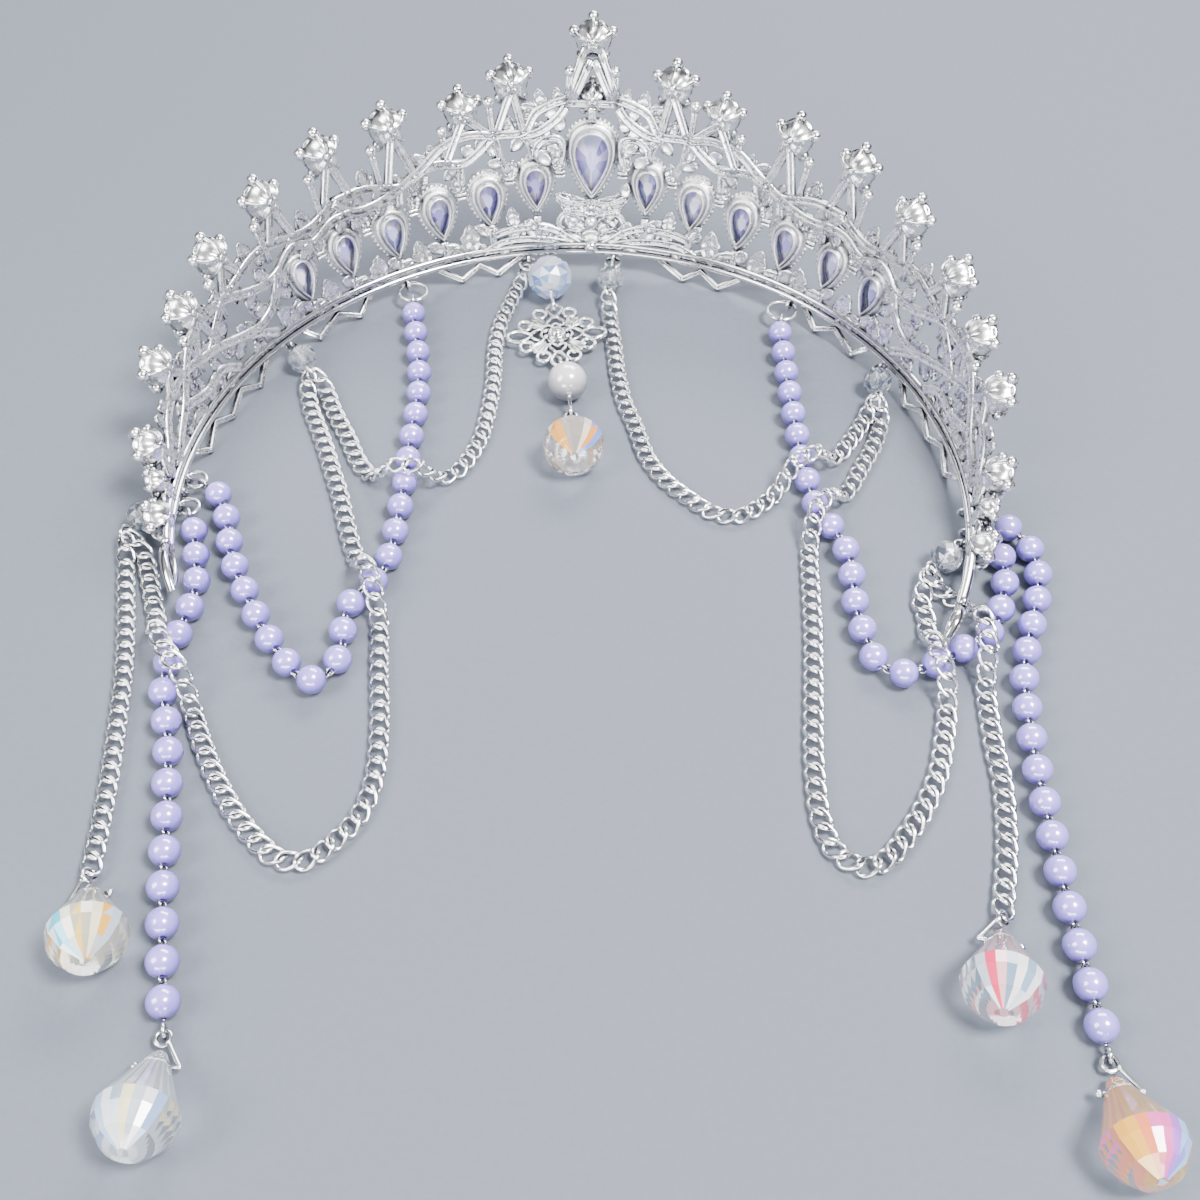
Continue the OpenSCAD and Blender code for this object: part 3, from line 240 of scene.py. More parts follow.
LUGS = [(-1, 7.3), (-1, 10.9), (-1, 32.4), (-1, 56.4), (-1, 89.1), (-1, 92.0), (-1, 94.8),
        (1, 3.9), (1, 36.2), (1, 57.2), (1, 90.5), (1, 94.5), (1, 97.0)]

# Jump rings: side, angle, radius, and 1 inside the band or -1 outside it
LEFT_RINGS = [(-1, 32.4, 3, 1), (-1, 89.1, 2, 1), (-1, 94.8, 2, 1), (-1, 92.0, 2.7, -1),
              (-1, 10.9, 1.9, 1), (-1, 7.3, 1.6, 1)]
RIGHT_RINGS = [(1, 36.2, 3, 1), (1, 90.5, 2.2, -1), (1, 94.5, 2.2, -1), (1, 3.9, 1.6, 1)]

# Routes of the strands on the surface
LEFT_SWAG = [(-36.5, 51), (-34.2, 40), (-32.5, 28), (-32.2, 14), (-31.8, 0), (-32, -14), (-33, -20.5),
             (-36.8, -26), (-37.8, -31.5), (-37.2, -37.5), (-38.8, -43), (-43, -44), (-47.5, -39),
             (-51.5, -34), (-55, -28), (-58.4, -22), (-61.2, -16), (-63.2, -9.2), (-66.2, -2.6)]
LEFT_TAIL = [(-69, -11.5), (-67.4, -17), (-65.9, -22.5), (-65.3, -27.5), (-65.8, -33), (-66.2, -39),
             (-66, -46), (-64, -52.5), (-62, -59), (-60.6, -65), (-59.2, -71), (-58, -77), (-56.8, -83),
             (-55.4, -89), (-54, -94.5), (-52.6, -100)]
RIGHT_SWAG = [(41, 50), (41.6, 42), (42, 35), (42.6, 27.5), (43.2, 20), (43.8, 13), (44.8, 6), (46, 0),
              (49, -6), (51.2, -12), (51.5, -18), (51.8, -25), (53, -31), (54.5, -36), (58.5, -38.2),
              (64, -36.2), (69.5, -32.4), (74.6, -28.6), (76.8, -24), (78.4, -18.5), (79.2, -12)]
RIGHT_TAIL = [(81.5, -4.2), (84.6, -9.5), (84.8, -16), (83.2, -23), (81, -30), (79.2, -37), (78.6, -44),
              (78.4, -50), (78.4, -56), (78.6, -62), (78.8, -68), (79, -74), (79.4, -80), (79.8, -86),
              (80.2, -91), (80.8, -97)]
LEFT_SHORT = [(-52, 29.6), (-49, 23), (-45.2, 16), (-41.4, 8.4), (-37, 4.2), (-32.5, 3.6), (-27.6, 4.2),
              (-22.5, 7.6), (-19.2, 15.8), (-18.2, 24), (-18, 34), (-18.6, 44), (-18.2, 52.5),
              (-16.6, 60), (-15.4, 64.6)]
LEFT_LONG = [(-55.4, 29.4), (-54, 24), (-52, 19.5), (-49.4, 13.6), (-46.6, 6.5), (-44, 0), (-41, -9),
             (-38, -16.5), (-34.4, -23), (-32, -30), (-30.4, -41), (-28.7, -51.4), (-28, -61), (-29, -68),
             (-31.8, -73), (-36, -77.2), (-40.5, -77.3), (-44.4, -74.5), (-49, -69.7), (-53.2, -63.8),
             (-56.8, -57.6), (-59.8, -51.6), (-62.4, -46), (-66.4, -41), (-69.8, -35), (-73, -27),
             (-75.4, -21), (-77.6, -16.2)]
LEFT_END = [(-80.2, -18), (-78.8, -24), (-76.6, -32), (-74, -43), (-72.4, -52.5), (-70.8, -63),
            (-69.6, -73)]
RIGHT_SHORT = [(5.2, 53.4), (6.2, 46.6), (7.4, 37.2), (9, 29), (11.4, 22), (14, 13.4), (17.6, 7.3),
               (21.6, 3.2), (26.9, -1), (31.8, -1.5), (36.6, 2.1), (41.8, 8), (46.4, 11.3), (51, 15.1),
               (54.6, 21), (57.4, 26.2)]
RIGHT_LONG = [(60.3, 26.4), (59.6, 22), (58, 17.5), (55.6, 12.4), (53.2, 7), (50.2, 2.8), (47.6, -0.8),
              (45.2, -4.8), (44.4, -11), (44.3, -20), (44.2, -29), (43.8, -37.5), (43.4, -45.4),
              (43, -53), (43, -60.5), (43.5, -66.5), (45.4, -71.8), (49.6, -74.4), (53.6, -72.6),
              (57, -68.2), (60, -63.4), (62.9, -57), (64.4, -51), (65.6, -45), (65.6, -40.5),
              (64.2, -36.2), (63.9, -32), (64.1, -28), (64.2, -24.4), (63.8, -20.8)]
RIGHT_END = [(66.2, -17.6), (68.4, -19.6), (71.2, -21.8), (72.5, -25.6), (72.8, -30), (72.9, -35),
             (72.6, -42), (72.6, -51), (73, -58), (72.6, -65), (71.8, -71.6), (70.6, -77.5)]

# Drops: place of the top on the surface, and the heading of the wide end
DROPS = {
    "centre": ((-1.2, 21), -84),
    "left_chain": ((-67.9, -84.1), -70),
    "left_pearl": ((-51, -109), -88),
    "right_chain": ((69, -85), -102),
    "right_pearl": ((81.6, -106.4), -85),
}
DROP_NECK_R = 1.4
DROP_R = 6
DROP_SHOULDER = 10.5
DROP_FLAT = math.cos(math.pi / 12)
DROP_SIDES = 24
DROP_TILT = math.atan((DROP_R - DROP_NECK_R) * DROP_FLAT / DROP_SHOULDER)
DROP_TOP_Z = DROP_NECK_R * DROP_FLAT * math.cos(DROP_TILT) + 0.02
HEADPIN_BACK = 2.2
HEADPIN_EYE_Z = 1.5
HEADPIN_UP = (HEADPIN_EYE_Z - DROP_TOP_Z + HEADPIN_BACK * math.sin(DROP_TILT)) / math.cos(DROP_TILT)
THREAD_END_Z = 1.6

BIG_CENTRE = (-8.4, 63.4, 4.82)
BIG_DIR = (0.12, -1, 0)
PLATE_CENTRE = (-5.9, 47.5, 2.15)
PLATE_TILT = 3
PLATE_TURN = 8
WHITE_CENTRE = (-2.6, 31, 4.02)
WHITE_DIR = (0.15, -1, 0)

# Sections, as radius or half width and height
BAND_SECTION = [(1, 0), (0.85, 0.5), (0.5, 0.86), (0, 1), (-0.5, 0.86), (-0.85, 0.5), (-1, 0),
                (-0.85, -0.5), (-0.5, -0.86), (0, -1), (0.5, -0.86), (0.85, -0.5)]
STRIP_SECTION = [(-0.6, -1), (0.6, -1), (1, -0.4), (1, 0.4), (0.8, 0.9), (0.5, 1), (0.22, 0.72),
                 (-0.22, 0.72), (-0.5, 1), (-0.8, 0.9), (-1, 0.4), (-1, -0.4)]
CUP_SECTION = [(0.5, 1.1), (0.8, 1.25), (1.25, 1.15), (1.9, 0.9), (2.6, 0.42), (3.1, -0.2), (3.45, -0.8),
               (3.6, -1.3), (3.62, -2.2), (3.75, -2.5), (3.75, -3.1), (3.6, -3.4), (3.05, -3.4),
               (3.05, -2.4), (1.7, -0.95), (0.5, -0.95)]
CLAW = [(0.9, 1.05), (2.0, 0.75), (3.0, -0.05), (3.7, -1.1), (4.1, -2.4), (4.1, -3.7), (3.3, -4.1),
        (2.5, -3.9)]
BUTTON_SECTION = [(0.01, -0.4), (2.5, -0.4), (2.75, 0.0), (2.5, 0.35), (2.0, 0.3), (1.85, 0.6),
                  (1.6, 0.95), (1.3, 0.8), (1.15, 0.7), (0.95, 1.15), (0.6, 1.45), (0.01, 1.58)]
BEAD_SECTION = [(0.5, -2.79), (1.3, -2.62), (2.2, -2.0), (2.85, -1.0), (3.0, 0), (2.85, 1.0), (2.2, 2.0),
                (1.3, 2.62), (0.5, 2.79)]
BIG_BEAD_SECTION = [(0.5, -4.46), (1.9, -4.3), (3.5, -3.2), (4.55, -1.6), (4.8, 0), (4.55, 1.6),
                    (3.5, 3.2), (1.9, 4.3), (0.5, 4.46)]
DROP_SECTION = [(1.15, 0.0), (DROP_NECK_R, 0.5), (2.6, 3.0), (4.6, 7.5), (DROP_R, DROP_SHOULDER),
                (5.6, 12.5), (3.8, 15.0), (0.8, 16.45)]

# Pear collar, as share of the way from the window to the rim, and height; end loops likewise
COLLAR = [(0.05, 0.95), (0.13, 1.05), (0.2, 0.8), (0.24, 0.0), (0.32, -0.05), (0.38, 0.2), (0.52, 0.25),
          (0.66, 0.0), (0.76, -0.4), (0.82, -0.7), (0.86, -0.75), (0.9, -0.72), (0.96, -1.1), (1.0, -1.8),
          (1.0, -2.7), (0.97, -3.3), (0.9, -3.4)]
LOOP_SECTION = [(0, -0.7), (0, 0.4), (0.18, 0.7), (0.5, 0.78), (0.82, 0.7), (1, 0.4), (1, -0.7)]

# Colours of the fan of facets on each drop, from left to right as they are seen: partly the iridescent coat
# and partly painted reflections
CLEAR = (0.95, 0.97, 1.0)
FANS = {
    "centre": [(0.85, 0.8, 0.6), (0.9, 0.42, 0.08), (0.4, 0.36, 0.33), (0.72, 0.52, 0.25),
               (0.34, 0.3, 0.28), (0.85, 0.75, 0.6), (0.95, 0.35, 0.06), (0.2, 0.3, 0.85)],
    "left_chain": [(0.8, 0.88, 0.95), (0.08, 0.62, 0.9), (0.95, 0.92, 0.8), (0.9, 0.62, 0.15),
                   (0.5, 0.46, 0.36), (0.92, 0.85, 0.6), (0.9, 0.45, 0.06), (0.5, 0.58, 0.68)],
    "left_pearl": [(0.5, 0.65, 0.9), (0.9, 0.93, 0.97), (0.35, 0.44, 0.52), (0.95, 0.85, 0.5),
                   (0.55, 0.6, 0.66), (0.92, 0.93, 0.97), (0.3, 0.42, 0.7)],
    "right_chain": [(0.6, 0.68, 0.8), (0.95, 0.06, 0.16), (0.95, 0.5, 0.55), (0.2, 0.34, 0.48),
                    (1.0, 1.0, 1.0), (0.25, 0.42, 0.56), (0.85, 0.88, 0.95)],
    "right_pearl": [(0.95, 0.8, 0.12), (0.95, 0.5, 0.08), (0.95, 0.25, 0.12), (0.9, 0.3, 0.34),
                    (0.85, 0.14, 0.5), (0.42, 0.15, 0.8), (0.2, 0.22, 0.85), (0.3, 0.55, 0.9)],
}


# Points and lines

def unit(v):
    v = np.asarray(v, float)
    return v / np.linalg.norm(v)


def wall_r(z):
    return BAND_R + (z - BAND_Z) * math.tan(LEAN)


def polar(r, side, angle, z):
    a = math.radians(angle)
    return np.array([side * r * math.sin(a), r * math.cos(a), z])


def wall_axes(angle):
    """Directions on the wall: along the band, up the slope, and towards the head."""
    a = math.radians(angle)
    out = np.array([math.sin(a), math.cos(a), 0])
    up = np.array([0, 0, 1.0])
    along = np.array([math.cos(a), -math.sin(a), 0])
    return along, math.sin(LEAN) * out + math.cos(LEAN) * up, math.sin(LEAN) * up - math.cos(LEAN) * out


def wall_point(angle, z, depth=0.0):
    return polar(wall_r(z), 1, angle, z) + depth * wall_axes(angle)[2]


def on_wall(points, angle, z):
    """Moves local points (along, up the slope, towards the head) to a place on the wall."""
    p = np.asarray(points, float)
    return wall_point(angle, z) + p @ np.array(wall_axes(angle))


def smooth_line(points, k):
    p = np.asarray(points, float)
    n = len(p)
    out = []
    for i in range(n - 1):
        a, b, c, d = p[max(i - 1, 0)], p[i], p[i + 1], p[min(i + 2, n - 1)]
        for j in range(k):
            t = j / k
            out.append(0.5 * (2 * b + (c - a) * t + (2 * a - 5 * b + 4 * c - d) * t * t
                              + (3 * b - a - 3 * c + d) * t ** 3))
    out.append(p[-1])
    return np.array(out)


class Line:
    """A line that is read by its running length."""

    def __init__(self, points):
        self.p = np.asarray(points, float)
        self.s = np.concatenate([[0], np.cumsum(np.linalg.norm(np.diff(self.p, axis=0), axis=1))])
        self.total = self.s[-1]

    def at(self, s):
        return np.array([np.interp(s, self.s, self.p[:, k]) for k in range(3)])

    def heading(self, s):
        return unit(self.at(s + 0.4) - self.at(s - 0.4))


def strand(route, base, z0, z1, over):
    q = smooth_line(route, 8)
    flat = Line(np.column_stack([q, np.zeros(len(q))]))
    out = []
    for p, s in zip(q, flat.s):
        rise = 0
        for c in over:
            near = min(math.dist(p, c[:2]) / c[2], 1)
            rise = max(rise, min(1, CLIMB_FLAT * (1 + math.cos(math.pi * near)) / 2))
        z = base + OVER_PEARLS * rise
        z += (z0 - base) * max(0, 1 - s / END_RUN) + (z1 - base) * max(0, 1 - (flat.total - s) / END_RUN)
        out.append((p[0], p[1], z))
    return Line(out)


def steps(total, lead, pitch):
    n = math.ceil((total - 2 * lead) / pitch)
    return [lead + i * (total - 2 * lead) / n for i in range(n + 1)]


def ring_centre(g):
    return polar(BAND_R - g[3] * g[2], g[0], g[1], LUG_Z)


def ring_exit(g, to):
    c = ring_centre(g)
    return c + g[2] * unit([to[0] - c[0], to[1] - c[1], 0])


def xy(p):
    return (p[0], p[1])


def drop_eye(name, more):
    top, az = DROPS[name]
    a = math.radians(az)
    back = HEADPIN_BACK * math.cos(DROP_TILT) + HEADPIN_UP * math.sin(DROP_TILT) + more
    return (top[0] - back * math.cos(a), top[1] - back * math.sin(a))


# Meshes

class Shape:
    """Gathers the points and faces of one piece."""

    def __init__(self):
        self.points = []
        self.faces = []
        self.count = 0

    def add(self, points, faces):
        points = np.asarray(points, float).reshape(-1, 3)
        n = self.count
        self.points.append(points)
        self.faces.extend([tuple(i + n for i in f) for f in faces])
        self.count += len(points)

    def build(self, name, look, replaces, slot, flat=False):
        """Makes the piece; flat keeps its facets."""
        mesh = bpy.data.meshes.new(name)
        mesh.from_pydata((np.vstack(self.points) * MM).tolist(), [], self.faces)
        mesh.validate()
        work = bmesh.new()
        work.from_mesh(mesh)
        bmesh.ops.recalc_face_normals(work, faces=work.faces)
        work.to_mesh(mesh)
        work.free()
        mesh.update()
        if not flat:
            mesh.polygons.foreach_set("use_smooth", [True] * len(mesh.polygons))
        mesh.materials.append(look)
        piece = bpy.data.objects.new(name, mesh)
        bpy.context.scene.collection.objects.link(piece)
        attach(piece, "root")
        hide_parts(*replaces)


def skin(rows, columns, close_rows=False):
    """Faces of a grid whose columns close on themselves."""
    faces = []
    for i in range(rows if close_rows else rows - 1):
        a, b = i * columns, (i + 1) % rows * columns
        for j in range(columns):
            k = (j + 1) % columns
            faces.append((a + j, a + k, b + k, b + j))
    if not close_rows:
        faces += end_caps(rows, columns)
    return faces


def end_caps(rows, columns):
    return [tuple(range(columns - 1, -1, -1)), tuple((rows - 1) * columns + j for j in range(columns))]


def sheet_faces(rows, columns):
    """Faces of a thin sheet: a grid of points, the same grid below it, and the edge between them."""
    n = rows * columns
    grid = [(i + j, i + j + 1, i + j + columns + 1, i + j + columns)
            for i in range(0, n - columns, columns) for j in range(columns - 1)]
    edge = (list(range(columns)) + list(range(2 * columns - 1, n, columns))
            + list(range(n - 2, n - columns - 1, -1)) + list(range(n - 2 * columns, 0, -columns)))
    faces = grid + [(n + a, n + d, n + c, n + b) for a, b, c, d in grid]
    return faces + [(b, a, n + a, n + b) for a, b in zip(edge, edge[1:] + edge[:1])]


def sweep(shape, path, ups, profile, closed=False, scale=None):
    """Carries a section along a path, square to it, with the section's height towards ups."""
    p = np.asarray(path, float)
    t = np.roll(p, -1, 0) - np.roll(p, 1, 0) if closed else np.gradient(p, axis=0)
    t /= np.linalg.norm(t, axis=1)[:, None]
    side = np.cross(t, np.broadcast_to(np.asarray(ups, float), p.shape))
    side /= np.linalg.norm(side, axis=1)[:, None]
    up = np.cross(side, t)
    m = np.asarray(profile, float)
    k = np.ones(len(p)) if scale is None else scale
    pts = (p[:, None, :] + (m[None, :, 0] * k[:, None])[:, :, None] * side[:, None, :]
           + (m[None, :, 1] * k[:, None])[:, :, None] * up[:, None, :])
    shape.add(pts, skin(len(p), len(m), closed))


def circle(r, n):
    return [(r * math.cos(TAU * i / n), r * math.sin(TAU * i / n)) for i in range(n)]


def side_axes(direction):
    d = unit(direction)
    ref = np.array([0, 0, 1.0]) if abs(d[2]) < 0.9 else np.array([0, 1.0, 0])
    u = unit(np.cross(ref, d))
    return u, np.cross(d, u), d


def tube(shape, path, r):
    sweep(shape, path, (0.13, 0.21, 0.97), circle(r, 8))


def ring(shape, centre, normal, r, wire, n, stretch=(1, 1), across=None):
    """A round or oval wire ring; across is the direction of its first half size."""
    c = np.asarray(centre, float)
    d = unit(normal)
    u = side_axes(d)[0] if across is None else unit(np.asarray(across) - np.dot(across, d) * d)
    v = np.cross(d, u)
    path = [c + r * (stretch[0] * math.cos(TAU * i / n) * u + stretch[1] * math.sin(TAU * i / n) * v)
            for i in range(n)]
    sweep(shape, path, d, circle(wire, 8), True)


def turned(shape, centre, axes, profile, n, turn=0.0, facets=False):
    """Surface of revolution of (radius, height) points; facets turns each second row by half a side."""
    u, v, w = axes
    c = np.asarray(centre, float)
    rows = []
    for i, (r, h) in enumerate(profile):
        shift = turn + (math.pi / n if facets and i % 2 else 0)
        rows.append([c + r * (math.cos(TAU * j / n + shift) * u + math.sin(TAU * j / n + shift) * v) + h * w
                     for j in range(n)])
    if not facets:
        shape.add(rows, skin(len(profile), n))
        return
    faces = []
    for i in range(len(profile) - 1):
        a, b = i * n, (i + 1) * n
        for j in range(n):
            k = (j + 1) % n
            if i % 2 == 0:
                faces += [(a + j, a + k, b + j), (b + j, a + k, b + k)]
            else:
                faces += [(a + j, b + k, b + j), (a + j, a + k, b + k)]
    shape.add(rows, faces + end_caps(len(profile), n))


def half_circle(r, m, least, end=1.0):
    """Section of a ball, at least so far from its axis; end shortens the two poles."""
    angles = [math.pi * i / m for i in range(m + 1)]
    return [(max(r * math.sin(t), least), -r * math.cos(t) * (1 if 0 < i < m else end))
            for i, t in enumerate(angles)]


def ball(shape, centre, r, n):
    m = max(4, n // 2)
    prof = [(r * math.sin(math.pi * i / m) + 1e-4, -r * math.cos(math.pi * i / m)) for i in range(m + 1)]
    turned(shape, centre, np.eye(3), prof, n)


# Materials

def material(name, **values):
    m = bpy.data.materials.new(name)
    m.use_nodes = True
    tree = m.node_tree
    bsdf = tree.nodes["Principled BSDF"]
    for key, value in values.items():
        bsdf.inputs[key.replace("_", " ")].default_value = value
    return m, tree, bsdf


def node(tree, kind, inputs, operation=None):
    """Adds a shader node. Each input is a socket to link or a value to hold."""
    n = tree.nodes.new("ShaderNode" + kind)
    if operation:
        n.operation = operation
    for key, value in inputs.items():
        if isinstance(value, bpy.types.NodeSocket):
            tree.links.new(value, n.inputs[key])
        else:
            n.inputs[key].default_value = value
    return n


def noise(tree, scale, detail, rough=0.5):
    place = node(tree, "TexCoord", {}).outputs["Object"]
    fine = node(tree, "TexNoise", {"Scale": scale, "Detail": detail, "Roughness": rough, "Vector": place})
    return fine.outputs["Fac"]


def ramp(tree, source, stops):
    r = node(tree, "ValToRGB", {"Fac": source})
    e = r.color_ramp.elements
    while len(e) < len(stops):
        e.new(0.5)
    for item, (at, colour) in zip(e, stops):
        item.position = at
        item.color = (*colour, 1) if len(colour) == 3 else colour
    return r.outputs["Color"]


def bump(tree, bsdf, source, strength, distance):
    b = node(tree, "Bump", {"Strength": strength, "Distance": distance, "Height": source})
    tree.links.new(b.outputs["Normal"], bsdf.inputs["Normal"])


def silver(name, painted_shade, rough, grain, depth, reach):
    """Plated metal with painted shade in its hollows, where an ambient occlusion ramp darkens the colour,
    and a fine uneven gloss; reach is how wide a hollow is.
    """
    m, tree, bsdf = material(name, Metallic=1.0)
    # Painted shade: ambient occlusion darkens the base colour in hollows, creases and gaps between parts
    hollow = node(tree, "AmbientOcclusion", {"Distance": reach})
    hollow.samples = 8
    middle = [0.35 + 0.65 * d for d in painted_shade]
    tint = ramp(tree, hollow.outputs["AO"], [(0.25, painted_shade), (0.65, middle), (0.95, (1.0, 1.0, 1.0))])
    tree.links.new(tint, bsdf.inputs["Base Color"])
    gloss = ramp(tree, noise(tree, grain * 0.4, 4), [(0.3, (rough * 0.6,) * 3), (0.75, (rough * 1.5,) * 3)])
    tree.links.new(gloss, bsdf.inputs["Roughness"])
    bump(tree, bsdf, noise(tree, grain, 6, 0.6), depth, 0.00025)
    return m


def pearl_paint(name, shaded_below, half_lit, lit_top):
    """Pearl coat with painted light: shaded below, half lit round the side and lit on top, after the height
    of the surface normal, a little clouded.
    """
    m, tree, bsdf = material(name, Roughness=0.3, Coat_Weight=1.0, Coat_Roughness=0.09, Coat_IOR=2.1,
                             Specular_IOR_Level=0.8, Subsurface_Weight=0.15,
                             Subsurface_Radius=(0.8, 0.7, 0.9), Subsurface_Scale=0.001)
    # Painted light and shade: the colour follows how far the surface faces up, with a little random noise
    # mixed in
    normal = node(tree, "NewGeometry", {}).outputs["Normal"]
    up = node(tree, "SeparateXYZ", {"Vector": normal}).outputs["Z"]
    light_and_noise = node(tree, "Math", {0: noise(tree, 500, 2), 1: 0.25, 2: up}, "MULTIPLY_ADD")
    tint = ramp(tree, light_and_noise.outputs["Value"], [(0.0, shaded_below), (0.45, half_lit), (1.0, lit_top)])
    tree.links.new(tint, bsdf.inputs["Base Color"])
    bump(tree, bsdf, noise(tree, 1800, 3), 0.05, 0.0001)
    return m


def cut_glass(name, seed, stops, clear, rough=0.02):
    """Cut glass whose colour changes from facet to facet with the way each faces: partly the glass's own
    tint, partly painted reflections and glints.
    """
    m, tree, bsdf = material(name, Roughness=rough, IOR=1.55, Transmission_Weight=clear, Coat_Weight=0.4,
                             Coat_Roughness=0.02)
    normal = node(tree, "NewGeometry", {}).outputs["True Normal"]
    snap = node(tree, "VectorMath", {0: normal, 1: (0.08, 0.08, 0.08)}, "SNAP")
    shift = node(tree, "VectorMath", {0: snap.outputs["Vector"], 1: seed}, "ADD")
    draw = node(tree, "TexWhiteNoise", {"Vector": shift.outputs["Vector"]})
    # Painted reflections: each facet gets a bright or dark colour drawn from its direction
    tree.links.new(ramp(tree, draw.outputs["Value"], stops), bsdf.inputs["Base Color"])
    return m


def fan_glass(name, axes, fan):
    """Clear glass whose lower facets take their colours from their place round the drop; these colours are
    partly the iridescent coat and partly painted reflections.
    """
    m, tree, bsdf = material(name, Roughness=0.02, IOR=1.5, Coat_Weight=0.8, Coat_Roughness=0.02)
    normal = node(tree, "NewGeometry", {}).outputs["True Normal"]
    across, up, along = [node(tree, "VectorMath", {0: normal, 1: d}, "DOT_PRODUCT").outputs["Value"]
                         for d in axes]
    angle = node(tree, "Math", {0: across, 1: up}, "ARCTAN2").outputs["Value"]
    share = node(tree, "MapRange", {"From Min": -math.pi, "From Max": math.pi, "Value": angle})
    below = node(tree, "Math", {0: along, 1: 0}, "GREATER_THAN").outputs["Value"]
    shown = node(tree, "Math", {0: share.outputs["Result"], 1: below}, "MULTIPLY").outputs["Value"]
    # The fan stops hold the painted reflections and coat colours of the lower facets
    first = 0.5 - len(fan) / (2 * DROP_SIDES)
    stops = [(first + i / DROP_SIDES, (*c, 0.3)) for i, c in enumerate(fan)]
    stops = [(0.0, (*CLEAR, 0.95))] + stops + [(first + len(fan) / DROP_SIDES, (*CLEAR, 0.95))]
    tint = ramp(tree, shown, stops)
    tint.node.color_ramp.interpolation = "CONSTANT"
    tree.links.new(tint, bsdf.inputs["Base Color"])
    tree.links.new(tint.node.outputs["Alpha"], bsdf.inputs["Transmission Weight"])
    bump(tree, bsdf, noise(tree, 700, 2), 0.02, 0.0001)
    return m


# The first colour of each silver is the painted shade laid into its hollows
CAST = silver("cast_silver", painted_shade=(0.16, 0.165, 0.2), rough=0.34, grain=2400, depth=0.45, reach=0.0016)
SMOOTH_CAST = silver("smooth_cast_silver", painted_shade=(0.04, 0.045, 0.07), rough=0.26, grain=1500, depth=0.12,
                     reach=0.0018)
POLISHED = silver("polished_silver", painted_shade=(0.05, 0.055, 0.08), rough=0.12, grain=900, depth=0.06,
                  reach=0.002)
WIRE = silver("silver_wire_look", painted_shade=(0.05, 0.055, 0.08), rough=0.18, grain=1200, depth=0.1, reach=0.001)
# Pearl colours run from painted shade below to painted light on top
LILAC = pearl_paint("lilac_pearl_look", shaded_below=(0.08, 0.05, 0.32), half_lit=(0.23, 0.165, 0.68),
                    lit_top=(0.38, 0.295, 0.88))
IVORY = pearl_paint("white_pearl_look", shaded_below=(0.14, 0.13, 0.15), half_lit=(0.38, 0.365, 0.38),
                    lit_top=(0.7, 0.67, 0.68))
# Lilac of the pear stones, with painted reflections in the white and dark facets
PEAR_GLASS = cut_glass("pear_stone_look", (0.6, 0.5, 0.62), [
    (0.0, (0.2, 0.18, 0.5)), (0.25, (0.42, 0.38, 0.76)), (0.45, (0.8, 0.8, 0.98)),
    (0.6, (0.28, 0.34, 0.72)), (0.75, (0.62, 0.56, 0.9)), (1.0, (1.0, 1.0, 1.0))], 0.15, 0.08)
# AB coat colours of the round stones, with painted glints in the white facets
ROUND_GLASS = cut_glass("round_stone_look", (0.7, 0.5, 0.5), [
    (0.0, (0.95, 0.55, 0.2)), (0.3, (1.0, 0.8, 0.5)), (0.5, (0.9, 0.95, 1.0)), (0.7, (0.6, 0.8, 1.0)),
    (1.0, (1.0, 0.7, 0.8))], 0.5, 0.03)
# The clear beads' facets are painted reflections, dark to white
CLEAR_GLASS = cut_glass("clear_bead_look", (0.5, 0.3, 0.8), [
    (0.0, (0.1, 0.13, 0.2)), (0.3, (0.38, 0.43, 0.54)), (0.55, (0.9, 0.94, 1.0)),
    (1.0, (1.0, 1.0, 1.0))], 0.85)
# Blue and lilac coat of the big bead, with painted reflections in the white facets
ICE_GLASS = cut_glass("big_bead_look", (0.75, 0.3, 0.6), [
    (0.0, (0.12, 0.24, 0.56)), (0.25, (0.36, 0.52, 0.86)), (0.5, (0.8, 0.86, 1.0)),
    (0.7, (1.0, 1.0, 1.0)), (0.85, (0.6, 0.58, 0.92)), (1.0, (1.0, 1.0, 1.0))], 0.6, 0.03)


# The wall of the tiara

def wall_strip(shape, line, side, w, k, lift=0.0):
    """A cast strip along a line on the wall; its two edges stand up on the side of the head."""
    q = smooth_line(line, k)
    path = [wall_point(side * a, z, lift) for a, z in q]
    ups = [wall_axes(side * a)[2] for a, _ in q]
    sweep(shape, path, ups, [(x * w / 2, y * WALL_T / 2) for x, y in STRIP_SECTION])


def wall_leaf(shape, angle, z, length, half, tilt, side, rows=13, cols=9):
    """A cast leaf: hollow towards the head, with a rim, a middle rib and lobed edges."""
    c, s = math.cos(math.radians(-side * tilt)), math.sin(math.radians(-side * tilt))
    top = []
    for i in range(rows):
        u = i / (rows - 1)
        lobes = 1 + 0.13 * math.cos(7 * math.pi * u)
        w = max(half * (math.sin(math.pi * min(1, 0.12 + 0.88 * u)) ** 0.75) * lobes, 0.08)
        for j in range(cols):
            v = 2 * j / (cols - 1) - 1
            h = 0.35 + 0.2 * abs(v) ** 3 - 0.22 * (1 - v * v) * math.sin(math.pi * u)
            h += 0.3 * math.exp(-(v / 0.2) ** 2) * (1 - 0.6 * u)
            h += 0.08 * math.cos(7 * math.pi * u + 3 * abs(v))
            x, y = v * w, u * length
            top.append((c * x - s * y, s * x + c * y, h))
    low = [(x, y, h - 0.7) for x, y, h in top]
    shape.add(on_wall(top + low, side * angle, z), sheet_faces(rows, cols))


